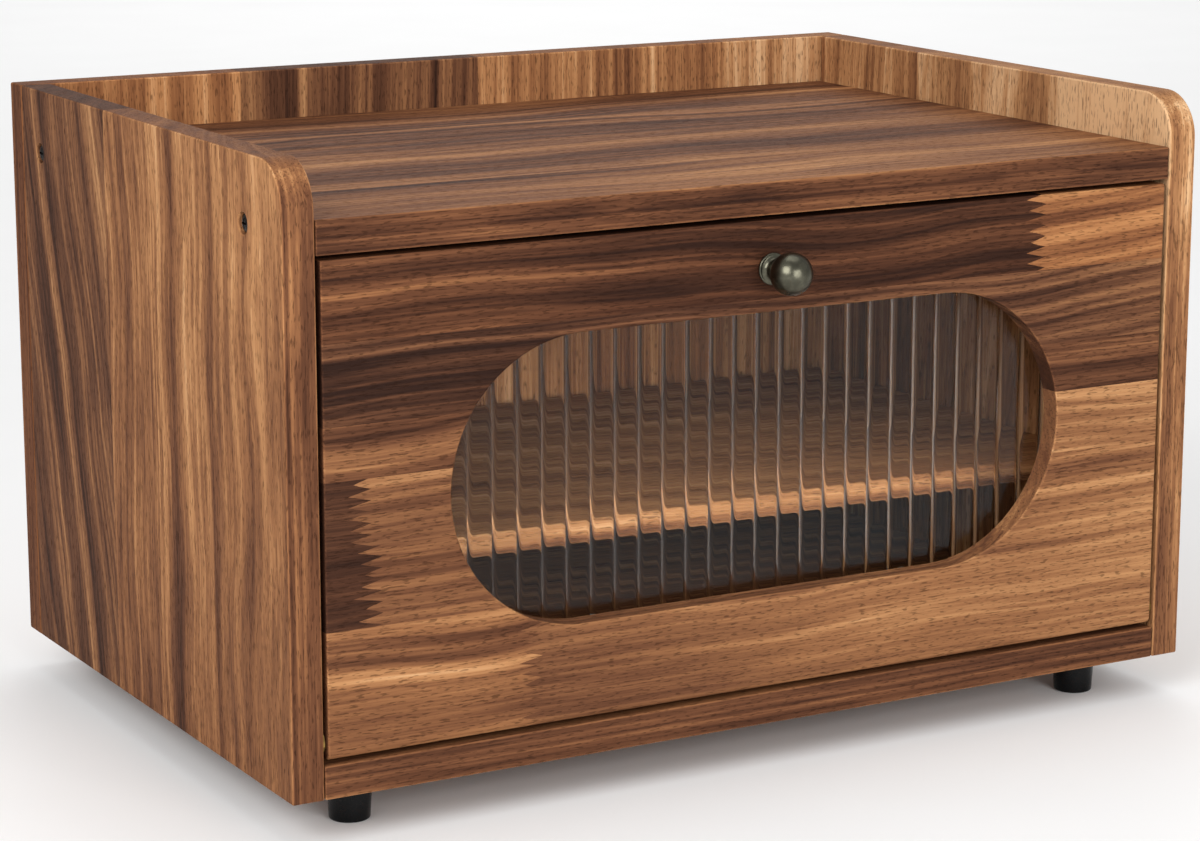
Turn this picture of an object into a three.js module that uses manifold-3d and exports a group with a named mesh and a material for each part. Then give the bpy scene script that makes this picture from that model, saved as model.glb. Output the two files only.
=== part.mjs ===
// Counter-top bread box with a drop-front door, in millimetres, +Z up.
// The origin lies on the surface that the box stands on, at the centre of its footprint, knob
// included. The door faces -Y and is closed. It turns on two pins near its bottom edge.
import * as THREE from 'three';
import { mergeVertices } from 'three/addons/utils/BufferGeometryUtils.js';
import Module from 'manifold-3d';

const wasm = await Module();
wasm.setup();

// ---- driving dimensions --------------------------------------------------------------

const WIDTH = 400;                // over the side panels
const DEPTH = 269;                // front edges to the back of the back panel
const PANEL_HEIGHT = 232;         // side panels and back panel
const BOARD = 12.7;               // thickness of the structural boards and the door
const GALLERY_HEIGHT = 20.7;      // sides and back above the top board
const CORNER_RADIUS = 18;         // front top corner of a side panel
const JOINT_GAP = 0.3;            // between faces that touch

const DOOR_GAP = 1.8;             // all round the door
const DOOR_EDGE_RADIUS = 3;       // lower front edge, which swings under the pivot
const WINDOW_LENGTH = 270;
const WINDOW_HEIGHT = 110;
const WINDOW_RAISE = 1;           // window's middle above the door's middle
const REBATE_MARGIN = 8;          // rebate for the pane, outside the window
const PANE_THICKNESS = 3;         // over the ribs
const RIB_PITCH = 10.3;
const RIB_RISE = 1;
const RIB_STEPS = 4;              // flat facets on one rib

const KNOB_PROJECTION = 22;
const KNOB_BALL_RADIUS = 8.25;
const KNOB_BELOW_TOP = 18.5;      // knob axis below the door's top edge

const FOOT_HEIGHT = 17;
const FOOT_TOP_RADIUS = 8.75;
const FOOT_BOTTOM_RADIUS = 7.75;
const FOOT_INSET_X = 34;          // foot axis in from the box's side
const FOOT_INSET_Y = 25;          // foot axis in from the front and the back

const SHELF_THICKNESS = 9;
const SHELF_TOP = 78;             // upper face above the underside of the box
const SHELF_DEPTH = 205;
const SHELF_SETBACK = 46;         // front edge behind the box's front
const SHELF_CLEARANCE = 1.2;      // to each side panel

const SCREW_SHANK = 1.8;
const SCREW_HOLE = 2.2;
const SCREW_HEAD = 3.5;
const SCREW_HEAD_HEIGHT = 2.2;
const COUNTERBORE = 4;
const SMALL_SCREW_SHANK = 1.2;
const SMALL_SCREW_HOLE = 1.6;
const SMALL_SCREW_HEAD = 2.4;
const SMALL_SCREW_HEAD_HEIGHT = 1;

const FINE = 22;                  // sides of the knob and the feet
const ROUND = 14;                 // sides of pins, bushes and their holes
const COARSE = 10;                // sides of screws

// ---- places worked out from them -----------------------------------------------------

const FRONT = -(DEPTH - KNOB_PROJECTION) / 2;
const BACK = FRONT + DEPTH;
const UNDERSIDE = FOOT_HEIGHT;
const FLOOR_TOP = UNDERSIDE + BOARD;
const TOP_FACE = UNDERSIDE + PANEL_HEIGHT - GALLERY_HEIGHT;
const CEILING = TOP_FACE - BOARD;
const INNER_X = WIDTH / 2 - BOARD;
const SIDE_DEPTH = DEPTH - BOARD - JOINT_GAP;
const SHELF_UNDERSIDE = UNDERSIDE + SHELF_TOP - SHELF_THICKNESS;

const DOOR_BOTTOM = FLOOR_TOP + DOOR_GAP;
const DOOR_HEIGHT = CEILING - DOOR_GAP - DOOR_BOTTOM;
const DOOR_HALF = INNER_X - DOOR_GAP;
const PIVOT_Y = FRONT + BOARD / 2;
const PIVOT_Z = DOOR_BOTTOM + BOARD / 2;
const DOOR_FACE = -BOARD / 2;     // the door's faces and edges, measured from its pivot
const DOOR_BACK = BOARD / 2;
const DOOR_LOW = -BOARD / 2;
const WINDOW_Z = DOOR_LOW + DOOR_HEIGHT / 2 + WINDOW_RAISE;
const KNOB_Z = DOOR_LOW + DOOR_HEIGHT - KNOB_BELOW_TOP;
const CLIP_X = 70;
const CATCH_X = 140;

const SIDES = { left: -1, right: 1 };
const ENDS = { front: 1, rear: -1 };
const X = new THREE.Vector3(1, 0, 0);
const Y = new THREE.Vector3(0, 1, 0);
const Z = new THREE.Vector3(0, 0, 1);
const reversed = (axis) => axis.clone().negate();

// ---- materials -----------------------------------------------------------------------

const finish = (color, roughness, metalness) =>
  new THREE.MeshStandardMaterial({ color, roughness, metalness });

const sideWood = () => finish(0x9a6a40, 0.5, 0);
const darkWood = () => finish(0x6f4629, 0.5, 0);
const boardWood = () => finish(0x83552f, 0.5, 0);
const beech = () => finish(0xcfae7c, 0.65, 0);
const screwSteel = () => finish(0x8d8f92, 0.35, 1);
const blackSteel = () => finish(0x17161a, 0.4, 1);
const pewter = () => finish(0x6d675e, 0.28, 1);
const brass = () => finish(0xb08d4a, 0.35, 1);
const blackPlastic = () => finish(0x0d0d0e, 0.22, 0);

const clearAcrylic = () => {
  const material = finish(0xf2f5f3, 0.06, 0);
  material.transparent = true;
  material.opacity = 0.35;
  return material;
};

// ---- solids --------------------------------------------------------------------------

// The solid of a closed geometry, placed by a matrix.
function solidOf(geometry, matrix) {
  const bare = geometry.clone();
  bare.deleteAttribute('normal');
  bare.deleteAttribute('uv');
  bare.applyMatrix4(matrix);
  const merged = mergeVertices(bare, 1e-4);
  return new wasm.Manifold(
    new wasm.Mesh({
      numProp: 3,
      vertProperties: merged.attributes.position.array,
      triVerts: new Uint32Array(merged.index.array),
    }),
  );
}

function geometryOf(solid) {
  const { vertProperties, triVerts } = solid.getMesh();
  const geometry = new THREE.BufferGeometry();
  geometry.setAttribute('position', new THREE.BufferAttribute(vertProperties, 3));
  geometry.setIndex(new THREE.BufferAttribute(triVerts, 1));
  const faceted = geometry.toNonIndexed();
  faceted.computeVertexNormals();
  return faceted;
}

// Takes the cutters out of a mesh. All of them are placed in the same parent's frame.
function cut(mesh, cutters) {
  mesh.updateMatrix();
  const toLocal = mesh.matrix.clone().invert();
  let solid = solidOf(mesh.geometry, new THREE.Matrix4());
  for (const cutter of cutters) {
    cutter.updateMatrix();
    const place = toLocal.clone().multiply(cutter.matrix);
    solid = solid.subtract(solidOf(cutter.geometry, place));
  }
  mesh.geometry = geometryOf(solid);
  return mesh;
}

function named(name, geometry, material, x, y, z) {
  const mesh = new THREE.Mesh(geometry, material);
  mesh.name = name;
  mesh.position.set(x, y, z);
  return mesh;
}

// Extrudes an outline. The three axes say where its two directions and its depth point.
function extruded(outline, depth, across, up, along, curveSegments = 12) {
  const geometry = new THREE.ExtrudeGeometry(outline, {
    depth,
    bevelEnabled: false,
    curveSegments,
  });
  return geometry.applyMatrix4(new THREE.Matrix4().makeBasis(across, up, along));
}

// A turned piece: [radius, height] points up its outside, its foot at `at`, pointing `along`.
function turned(name, points, material, at, along, segments = ROUND) {
  const profile = points.map(([radius, height]) => new THREE.Vector2(radius, height));
  const mesh = named(name, new THREE.LatheGeometry(profile, segments), material, ...at);
  mesh.quaternion.setFromUnitVectors(Y, along);
  return mesh;
}

// A drill that enters the face at `at` and goes `depth` deep along its axis.
function drill(at, along, radius, depth) {
  const overrun = 1;
  const geometry = new THREE.CylinderGeometry(radius, radius, depth + overrun, ROUND);
  geometry.translate(0, (depth - overrun) / 2, 0);
  const mesh = new THREE.Mesh(geometry);
  mesh.position.set(...at);
  mesh.quaternion.setFromUnitVectors(Y, along);
  return mesh;
}

// ---- outlines ------------------------------------------------------------------------

// A rectangle from (0, 0), with one corner rounded: its upper left, or its lower left.
function cornerOutline(width, height, radius, corner) {
  const outline = new THREE.Shape();
  outline.moveTo(width, 0);
  outline.lineTo(width, height);
  if (corner === 'upper') {
    outline.lineTo(radius, height);
    outline.absarc(radius, height - radius, radius, Math.PI / 2, Math.PI, false);
    outline.lineTo(0, 0);
  } else {
    outline.lineTo(0, height);
    outline.lineTo(0, radius);
    outline.absarc(radius, radius, radius, Math.PI, Math.PI * 1.5, false);
  }
  outline.closePath();
  return outline;
}

function centredRectangle(width, height, radius) {
  const x = width / 2 - radius;
  const y = height / 2 - radius;
  const outline = new THREE.Shape();
  outline.absarc(x, y, radius, 0, Math.PI / 2, false);
  outline.absarc(-x, y, radius, Math.PI / 2, Math.PI, false);
  outline.absarc(-x, -y, radius, Math.PI, Math.PI * 1.5, false);
  outline.absarc(x, -y, radius, Math.PI * 1.5, Math.PI * 2, false);
  outline.closePath();
  return outline;
}

function stadium(length, height) {
  const radius = height / 2;
  const reach = length / 2 - radius;
  const outline = new THREE.Shape();
  outline.absarc(reach, 0, radius, -Math.PI / 2, Math.PI / 2, false);
  outline.absarc(-reach, 0, radius, Math.PI / 2, Math.PI * 1.5, false);
  outline.closePath();
  return outline;
}

// ---- fasteners -----------------------------------------------------------------------

// A screw whose head rests on a seat. `outward` points out of the head.
function screw(name, seat, outward, length, size, material = screwSteel()) {
  const { shank, head, headHeight } = size;
  const points = [
    [0, -length],
    [shank * 0.9, -length + 2 * shank],
    [shank, -length + 3 * shank],
    [shank, 0],
    [head, 0],
    [head, headHeight * 0.5],
    [head * 0.7, headHeight],
    [0, headHeight],
  ];
  return turned(name, points, material, seat, outward, COARSE);
}

const WOOD_SCREW = { shank: SCREW_SHANK, head: SCREW_HEAD, headHeight: SCREW_HEAD_HEIGHT };
const SMALL_SCREW = {
  shank: SMALL_SCREW_SHANK,
  head: SMALL_SCREW_HEAD,
  headHeight: SMALL_SCREW_HEAD_HEIGHT,
};

// A plain round pin with chamfered ends.
function pin(name, at, along, radius, length, material) {
  const chamfer = radius * 0.2;
  const points = [
    [0, 0],
    [radius - chamfer, 0],
    [radius, chamfer],
    [radius, length - chamfer],
    [radius - chamfer, length],
    [0, length],
  ];
  return turned(name, points, material, at, along);
}

// Where every fastener of the cabinet goes. `inward` points from its head into the box.
const TOP_SCREW_COUNTERBORE = 3;
const TOP_SCREW_LENGTH = 29;
const TOP_SCREW_DROP = 4.8;        // axis below the top board's upper face
const TOP_SCREW_Z = TOP_FACE - TOP_SCREW_DROP;
const TOP_SCREW_Y = { front: FRONT + 33.5, rear: FRONT + 237 };
const BACK_SCREW_COUNTERBORE = 3;
const BACK_SCREW_LENGTH = 31;
const BACK_SCREW_X = WIDTH / 2 - BOARD / 2;
const BACK_SCREW_Z = { upper: UNDERSIDE + 170, lower: UNDERSIDE + 62 };
const BACK_SCREWS = {
  left_upper: [-BACK_SCREW_X, BACK_SCREW_Z.upper],
  left_lower: [-BACK_SCREW_X, BACK_SCREW_Z.lower],
  right_upper: [BACK_SCREW_X, BACK_SCREW_Z.upper],
  right_lower: [BACK_SCREW_X, BACK_SCREW_Z.lower],
  top: [0, TOP_FACE - BOARD / 2],
  bottom: [0, UNDERSIDE + BOARD / 2],
};
const HOLE_CLEARANCE = 0.3;       // round a pin, dowel or bush, in radius
const HOLE_RUNOUT = 1;            // a blind hole is this much deeper than what it holds
const TOP_PILOT = TOP_SCREW_LENGTH + TOP_SCREW_COUNTERBORE - BOARD - JOINT_GAP + HOLE_RUNOUT;
const BACK_PILOT = BACK_SCREW_LENGTH + BACK_SCREW_COUNTERBORE - BOARD - JOINT_GAP + HOLE_RUNOUT;
const DOWEL_RADIUS = 4;
const DOWEL_LENGTH = 28;
const DOWEL_IN_SIDE = 8;
const DOWEL_Y = { front: FRONT + 62, rear: FRONT + 196 };
const SHELF_PIN_RADIUS = 2.5;
const SHELF_PIN_IN_SIDE = 8;
const SHELF_PIN_LENGTH = 17;
const SHELF_PIN_Z = SHELF_UNDERSIDE - JOINT_GAP - SHELF_PIN_RADIUS;
const SHELF_PIN_Y = { front: FRONT + 76, rear: FRONT + 222 };
const PIVOT_PIN_RADIUS = 2;
const PIVOT_PIN_HOLE = PIVOT_PIN_RADIUS + 0.3;
const PIVOT_PIN_IN_SIDE = 7;
const PIVOT_PIN_IN_DOOR = 10;
const BUSH_RADIUS = 3.5;
const BUSH_LENGTH = 8;
const BUSH_FLANGE_RADIUS = 5;
const BUSH_FLANGE = 0.8;

// ---- cabinet -------------------------------------------------------------------------

function sidePanel(name, hand) {
  const outline = cornerOutline(SIDE_DEPTH, PANEL_HEIGHT, CORNER_RADIUS, 'upper');
  const board = extruded(outline, BOARD, Y, Z, X);
  const left = hand < 0 ? -WIDTH / 2 : INNER_X;
  const panel = named(name, board, sideWood(), left, FRONT, UNDERSIDE);
  const outward = X.clone().multiplyScalar(hand);
  const inward = reversed(outward);
  const cutters = [];
  for (const y of Object.values(TOP_SCREW_Y)) {
    const at = [(hand * WIDTH) / 2, y, TOP_SCREW_Z];
    cutters.push(drill(at, inward, COUNTERBORE, TOP_SCREW_COUNTERBORE));
    cutters.push(drill(at, inward, SCREW_HOLE, BOARD + HOLE_RUNOUT));
  }
  for (const y of Object.values(DOWEL_Y)) {
    const at = [hand * INNER_X, y, UNDERSIDE + BOARD / 2];
    const depth = DOWEL_IN_SIDE + HOLE_RUNOUT;
    cutters.push(drill(at, outward, DOWEL_RADIUS + HOLE_CLEARANCE, depth));
  }
  for (const y of Object.values(SHELF_PIN_Y)) {
    const at = [hand * INNER_X, y, SHELF_PIN_Z];
    const depth = SHELF_PIN_IN_SIDE + HOLE_RUNOUT;
    cutters.push(drill(at, outward, SHELF_PIN_RADIUS + HOLE_CLEARANCE, depth));
  }
  const pivot = [hand * INNER_X, PIVOT_Y, PIVOT_Z];
  cutters.push(drill(pivot, outward, BUSH_RADIUS + HOLE_CLEARANCE, BUSH_LENGTH + HOLE_RUNOUT));
  for (const [x, z] of Object.values(BACK_SCREWS)) {
    if (x * hand > INNER_X) {
      const at = [x, FRONT + SIDE_DEPTH, z];
      cutters.push(drill(at, reversed(Y), SCREW_HOLE, BACK_PILOT));
    }
  }
  return cut(panel, cutters);
}

function backPanel() {
  const outline = centredRectangle(WIDTH, PANEL_HEIGHT, 1);
  const board = extruded(outline, BOARD, X, Z, reversed(Y), 1);
  const panel = named('back_panel', board, sideWood(), 0, BACK, UNDERSIDE + PANEL_HEIGHT / 2);
  const cutters = Object.values(BACK_SCREWS).flatMap(([x, z]) => [
    drill([x, BACK, z], reversed(Y), COUNTERBORE, BACK_SCREW_COUNTERBORE),
    drill([x, BACK, z], reversed(Y), SCREW_HOLE, BOARD + HOLE_RUNOUT),
  ]);
  return cut(panel, cutters);
}

// A board between the sides, with its pilot hole for the back panel's middle screw.
function crossBoard(name, lowFace, material) {
  const length = 2 * (INNER_X - JOINT_GAP);
  const geometry = new THREE.BoxGeometry(length, SIDE_DEPTH, BOARD);
  const board = named(name, geometry, material, 0, FRONT + SIDE_DEPTH / 2, lowFace + BOARD / 2);
  const rear = [0, FRONT + SIDE_DEPTH, lowFace + BOARD / 2];
  return cut(board, [drill(rear, reversed(Y), SCREW_HOLE, BACK_PILOT)]);
}

function topBoard() {
  const board = crossBoard('top_board', CEILING, boardWood());
  const cutters = [];
  for (const hand of Object.values(SIDES)) {
    const inward = X.clone().multiplyScalar(-hand);
    const end = hand * (INNER_X - JOINT_GAP);
    for (const y of Object.values(TOP_SCREW_Y)) {
      cutters.push(drill([end, y, TOP_SCREW_Z], inward, SCREW_HOLE, TOP_PILOT));
    }
    cutters.push(drill([hand * CATCH_X, CATCH_SCREW_Y, CEILING], Z, SMALL_SCREW_HOLE, CATCH_PILOT));
  }
  return cut(board, cutters);
}

function bottomBoard() {
  const board = crossBoard('bottom_board', UNDERSIDE, boardWood());
  const cutters = [];
  for (const hand of Object.values(SIDES)) {
    const inward = X.clone().multiplyScalar(-hand);
    const end = hand * (INNER_X - JOINT_GAP);
    const depth = DOWEL_LENGTH - DOWEL_IN_SIDE + HOLE_RUNOUT;
    for (const y of Object.values(DOWEL_Y)) {
      const at = [end, y, UNDERSIDE + BOARD / 2];
      cutters.push(drill(at, inward, DOWEL_RADIUS + HOLE_CLEARANCE, depth));
    }
    for (const towards of Object.values(ENDS)) {
      cutters.push(drill([...footPlace(hand, towards), UNDERSIDE], Z, SCREW_HOLE, FOOT_PILOT));
    }
  }
  return cut(board, cutters);
}

function shelf() {
  const outline = centredRectangle(2 * (INNER_X - SHELF_CLEARANCE), SHELF_DEPTH, 4);
  const board = extruded(outline, SHELF_THICKNESS, X, Y, Z, 4);
  const middle = FRONT + SHELF_SETBACK + SHELF_DEPTH / 2;
  return named('shelf_board', board, boardWood(), 0, middle, SHELF_UNDERSIDE);
}

// ---- feet ----------------------------------------------------------------------------

const FOOT_RECESS = 4.6;
const FOOT_RECESS_DEPTH = 10;
const FOOT_SCREW_LENGTH = 15;
const FOOT_PILOT = FOOT_SCREW_LENGTH + FOOT_RECESS_DEPTH - FOOT_HEIGHT + HOLE_RUNOUT;

function footPlace(hand, end) {
  const y = end > 0 ? FRONT + FOOT_INSET_Y : BACK - FOOT_INSET_Y;
  return [hand * (WIDTH / 2 - FOOT_INSET_X), y];
}

function foot(name, place) {
  const top = FOOT_HEIGHT - JOINT_GAP;
  const points = [
    [FOOT_RECESS, 0],
    [FOOT_BOTTOM_RADIUS - 0.8, 0],
    [FOOT_BOTTOM_RADIUS, 1],
    [FOOT_TOP_RADIUS, top],
    [SCREW_HOLE, top],
    [SCREW_HOLE, FOOT_RECESS_DEPTH],
    [FOOT_RECESS, FOOT_RECESS_DEPTH],
    [FOOT_RECESS, 0],
  ];
  return turned(name, points, blackPlastic(), [...place, 0], Z, FINE);
}

// ---- pivot bushes ---------------------------------------------------------------------

// A sleeve in the side panel, with a thin flange that keeps the door's end off the panel.
function pivotBush(name, hand, inward) {
  const length = BUSH_LENGTH + JOINT_GAP;
  const points = [
    [PIVOT_PIN_HOLE, 0],
    [BUSH_RADIUS, 0],
    [BUSH_RADIUS, length],
    [BUSH_FLANGE_RADIUS, length],
    [BUSH_FLANGE_RADIUS, length + BUSH_FLANGE],
    [PIVOT_PIN_HOLE, length + BUSH_FLANGE],
    [PIVOT_PIN_HOLE, 0],
  ];
  const at = [hand * (INNER_X + BUSH_LENGTH), PIVOT_Y, PIVOT_Z];
  return turned(name, points, brass(), at, inward);
}

// ---- magnet catches ------------------------------------------------------------------

const CATCH_LENGTH = 24;
const CATCH_HEAD_DEPTH = 12;
const CATCH_HEIGHT = 11;
const CATCH_TAB_DEPTH = 12;
const CATCH_TAB = 2.5;
const TAB_THICKNESS = 1.2;         // strike plates and pane clips
const STRIKE_LENGTH = 36;
const STRIKE_HEIGHT = 8;
const STRIKE_SCREW_X = 13;         // screw axis from the plate's middle
const STRIKE_SCREW_OUT = 5;        // screw axis beyond the catch's end
const CATCH_FRONT = FRONT + BOARD + JOINT_GAP + TAB_THICKNESS + 0.5;
const CATCH_SCREW_Y = CATCH_FRONT + CATCH_HEAD_DEPTH + CATCH_TAB_DEPTH / 2;
const CATCH_TOP = CEILING - JOINT_GAP;
const CATCH_SCREW_LENGTH = 10;
const CATCH_PILOT = CATCH_SCREW_LENGTH - CATCH_TAB;

// The head hangs down behind the door's top edge, and the tab is screwed to the top board.
function magnetCatch(name, hand) {
  const outline = new THREE.Shape();
  outline.moveTo(0, 0);
  outline.lineTo(0, -CATCH_HEIGHT);
  outline.lineTo(CATCH_HEAD_DEPTH, -CATCH_HEIGHT);
  outline.lineTo(CATCH_HEAD_DEPTH, -CATCH_TAB);
  outline.lineTo(CATCH_HEAD_DEPTH + CATCH_TAB_DEPTH, -CATCH_TAB);
  outline.lineTo(CATCH_HEAD_DEPTH + CATCH_TAB_DEPTH, 0);
  outline.closePath();
  const body = extruded(outline, CATCH_LENGTH, Y, Z, X);
  const x = hand * CATCH_X;
  const mesh = named(name, body, blackPlastic(), x - CATCH_LENGTH / 2, CATCH_FRONT, CATCH_TOP);
  const under = [x, CATCH_SCREW_Y, CATCH_TOP - CATCH_TAB];
  return cut(mesh, [drill(under, Z, SMALL_SCREW_HOLE, CATCH_TAB + HOLE_RUNOUT)]);
}

// ---- door, in the frame of its pivot line --------------------------------------------

const CLIP_LENGTH = 18;
const CLIP_WIDTH = 10;
const CLIP_REACH = WINDOW_HEIGHT / 2 + REBATE_MARGIN + 2;
const CLIP_SCREW_OUT = 5.5;       // screw axis beyond the clip's middle
const DOOR_SCREW_LENGTH = 8;
const KNOB_FLANGE = 6.2;
const KNOB_FLANGE_EDGE = 1.4;     // height of the flange's straight edge
const KNOB_FLANGE_HEIGHT = 2;
const KNOB_NECK = 3.7;
const KNOB_NECK_START = 3.2;
const KNOB_NECK_TOP = 4.6;
const KNOB_STEPS = 9;             // facets up the ball
const KNOB_BORE = 2.1;
const KNOB_BORE_DEPTH = 9;
const KNOB_SCREW_LENGTH = BOARD + 7;

const doorPilot = (x, z) =>
  drill([x, DOOR_BACK, z], reversed(Y), SMALL_SCREW_HOLE, DOOR_SCREW_LENGTH);

function doorPanel() {
  const profile = cornerOutline(BOARD, DOOR_HEIGHT, DOOR_EDGE_RADIUS, 'lower');
  const board = extruded(profile, 2 * DOOR_HALF, Y, Z, X, 6);
  const panel = named('door_panel', board, darkWood(), -DOOR_HALF, DOOR_FACE, DOOR_LOW);
  const through = stadium(WINDOW_LENGTH, WINDOW_HEIGHT);
  const windowCutter = extruded(through, BOARD + 2, X, Z, reversed(Y), 20);
  const margin = 2 * REBATE_MARGIN;
  const seat = stadium(WINDOW_LENGTH + margin, WINDOW_HEIGHT + margin);
  const rebateDepth = PANE_THICKNESS + JOINT_GAP;
  const rebateCutter = extruded(seat, rebateDepth + 1, X, Z, reversed(Y), 20);
  const cutters = [
    named('window', windowCutter, undefined, 0, DOOR_BACK + 1, WINDOW_Z),
    named('rebate', rebateCutter, undefined, 0, DOOR_BACK + 1, WINDOW_Z),
    drill([0, DOOR_BACK, KNOB_Z], reversed(Y), SCREW_HOLE, BOARD + HOLE_RUNOUT),
  ];
  for (const hand of Object.values(SIDES)) {
    const inward = X.clone().multiplyScalar(-hand);
    const depth = PIVOT_PIN_IN_DOOR + HOLE_RUNOUT;
    cutters.push(drill([hand * DOOR_HALF, 0, 0], inward, PIVOT_PIN_HOLE, depth));
    cutters.push(doorPilot(strikeScrewX(hand), STRIKE_Z));
  }
  for (const [x, z] of Object.values(CLIP_PLACES)) {
    const screwZ = WINDOW_Z + Math.sign(z) * (CLIP_REACH + CLIP_SCREW_OUT);
    cutters.push(doorPilot(x, screwZ));
  }
  return cut(panel, cutters);
}

// The front is fluted with low round ribs from top to bottom.
function windowPane() {
  const length = WINDOW_LENGTH + 2 * REBATE_MARGIN - 2 * JOINT_GAP;
  const height = WINDOW_HEIGHT + 2 * REBATE_MARGIN - 2 * JOINT_GAP;
  const ribs = Math.ceil(length / RIB_PITCH / 2) * 2;
  const half = (ribs * RIB_PITCH) / 2;
  const outline = new THREE.Shape();
  outline.moveTo(half, 0);
  outline.lineTo(-half, 0);
  for (let step = 0; step <= ribs * RIB_STEPS; step += 1) {
    const across = ((step % RIB_STEPS) / RIB_STEPS) * 2 - 1;
    const rise = RIB_RISE * (1 - across * across);
    outline.lineTo(-half + (step * RIB_PITCH) / RIB_STEPS, RIB_RISE - PANE_THICKNESS - rise);
  }
  outline.closePath();
  const slab = extruded(outline, height + 2, X, Y, Z);
  slab.translate(0, 0, -height / 2 - 1);
  const disc = extruded(stadium(length, height), PANE_THICKNESS + 2, X, Z, reversed(Y), 20);
  disc.translate(0, 1, 0);
  const unplaced = new THREE.Matrix4();
  const pane = solidOf(slab, unplaced).intersect(solidOf(disc, unplaced));
  return named('window_pane', geometryOf(pane), clearAcrylic(), 0, DOOR_BACK, WINDOW_Z);
}

function knob() {
  const centre = KNOB_PROJECTION - KNOB_BALL_RADIUS;
  const points = [
    [0, KNOB_BORE_DEPTH],
    [KNOB_BORE, KNOB_BORE_DEPTH],
    [KNOB_BORE, JOINT_GAP],
    [KNOB_FLANGE, JOINT_GAP],
    [KNOB_FLANGE, KNOB_FLANGE_EDGE],
    [KNOB_FLANGE - 0.6, KNOB_FLANGE_HEIGHT],
    [KNOB_NECK + 0.5, KNOB_NECK_START],
    [KNOB_NECK, KNOB_NECK_TOP],
  ];
  const startAngle = Math.asin((KNOB_NECK + 0.3) / KNOB_BALL_RADIUS);
  for (let step = 0; step <= KNOB_STEPS; step += 1) {
    const angle = startAngle + ((Math.PI - startAngle) * step) / KNOB_STEPS;
    const radius = step === KNOB_STEPS ? 0 : KNOB_BALL_RADIUS * Math.sin(angle);
    points.push([radius, centre - KNOB_BALL_RADIUS * Math.cos(angle)]);
  }
  return turned('knob', points, pewter(), [0, DOOR_FACE, KNOB_Z], reversed(Y), FINE);
}

const CLIP_PLACES = {
  upper_left: [-CLIP_X, 1],
  upper_right: [CLIP_X, 1],
  lower_left: [-CLIP_X, -1],
  lower_right: [CLIP_X, -1],
};

// A flat tab, screwed beside the rebate, whose other end holds the pane in.
function paneClip(name, x, upward) {
  const outline = stadium(CLIP_LENGTH, CLIP_WIDTH);
  const hole = new THREE.Path();
  hole.absarc(CLIP_SCREW_OUT, 0, SMALL_SCREW_HOLE, 0, Math.PI * 2, false);
  outline.holes.push(hole);
  const lengthwise = Z.clone().multiplyScalar(upward);
  const crosswise = X.clone().multiplyScalar(upward);
  const tab = extruded(outline, TAB_THICKNESS, lengthwise, crosswise, Y, 8);
  const z = WINDOW_Z + upward * CLIP_REACH;
  return named(name, tab, screwSteel(), x, DOOR_BACK + JOINT_GAP, z);
}

const STRIKE_BELOW_TOP = 1;
const STRIKE_Z = DOOR_LOW + DOOR_HEIGHT - STRIKE_BELOW_TOP - STRIKE_HEIGHT / 2;
const strikeScrewX = (hand) => hand * (CATCH_X + CATCH_LENGTH / 2 + STRIKE_SCREW_OUT);

// A steel plate on the door's back, longer than the catch so that its screw clears the catch.
function strikePlate(name, hand) {
  const outline = centredRectangle(STRIKE_LENGTH, STRIKE_HEIGHT, 1.5);
  const hole = new THREE.Path();
  hole.absarc(-hand * STRIKE_SCREW_X, 0, SMALL_SCREW_HOLE, 0, Math.PI * 2, false);
  outline.holes.push(hole);
  const plate = extruded(outline, TAB_THICKNESS, reversed(X), Z, Y, 4);
  const x = strikeScrewX(hand) - hand * STRIKE_SCREW_X;
  return named(name, plate, screwSteel(), x, DOOR_BACK + JOINT_GAP, STRIKE_Z);
}

// ---- assembly ------------------------------------------------------------------------

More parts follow.
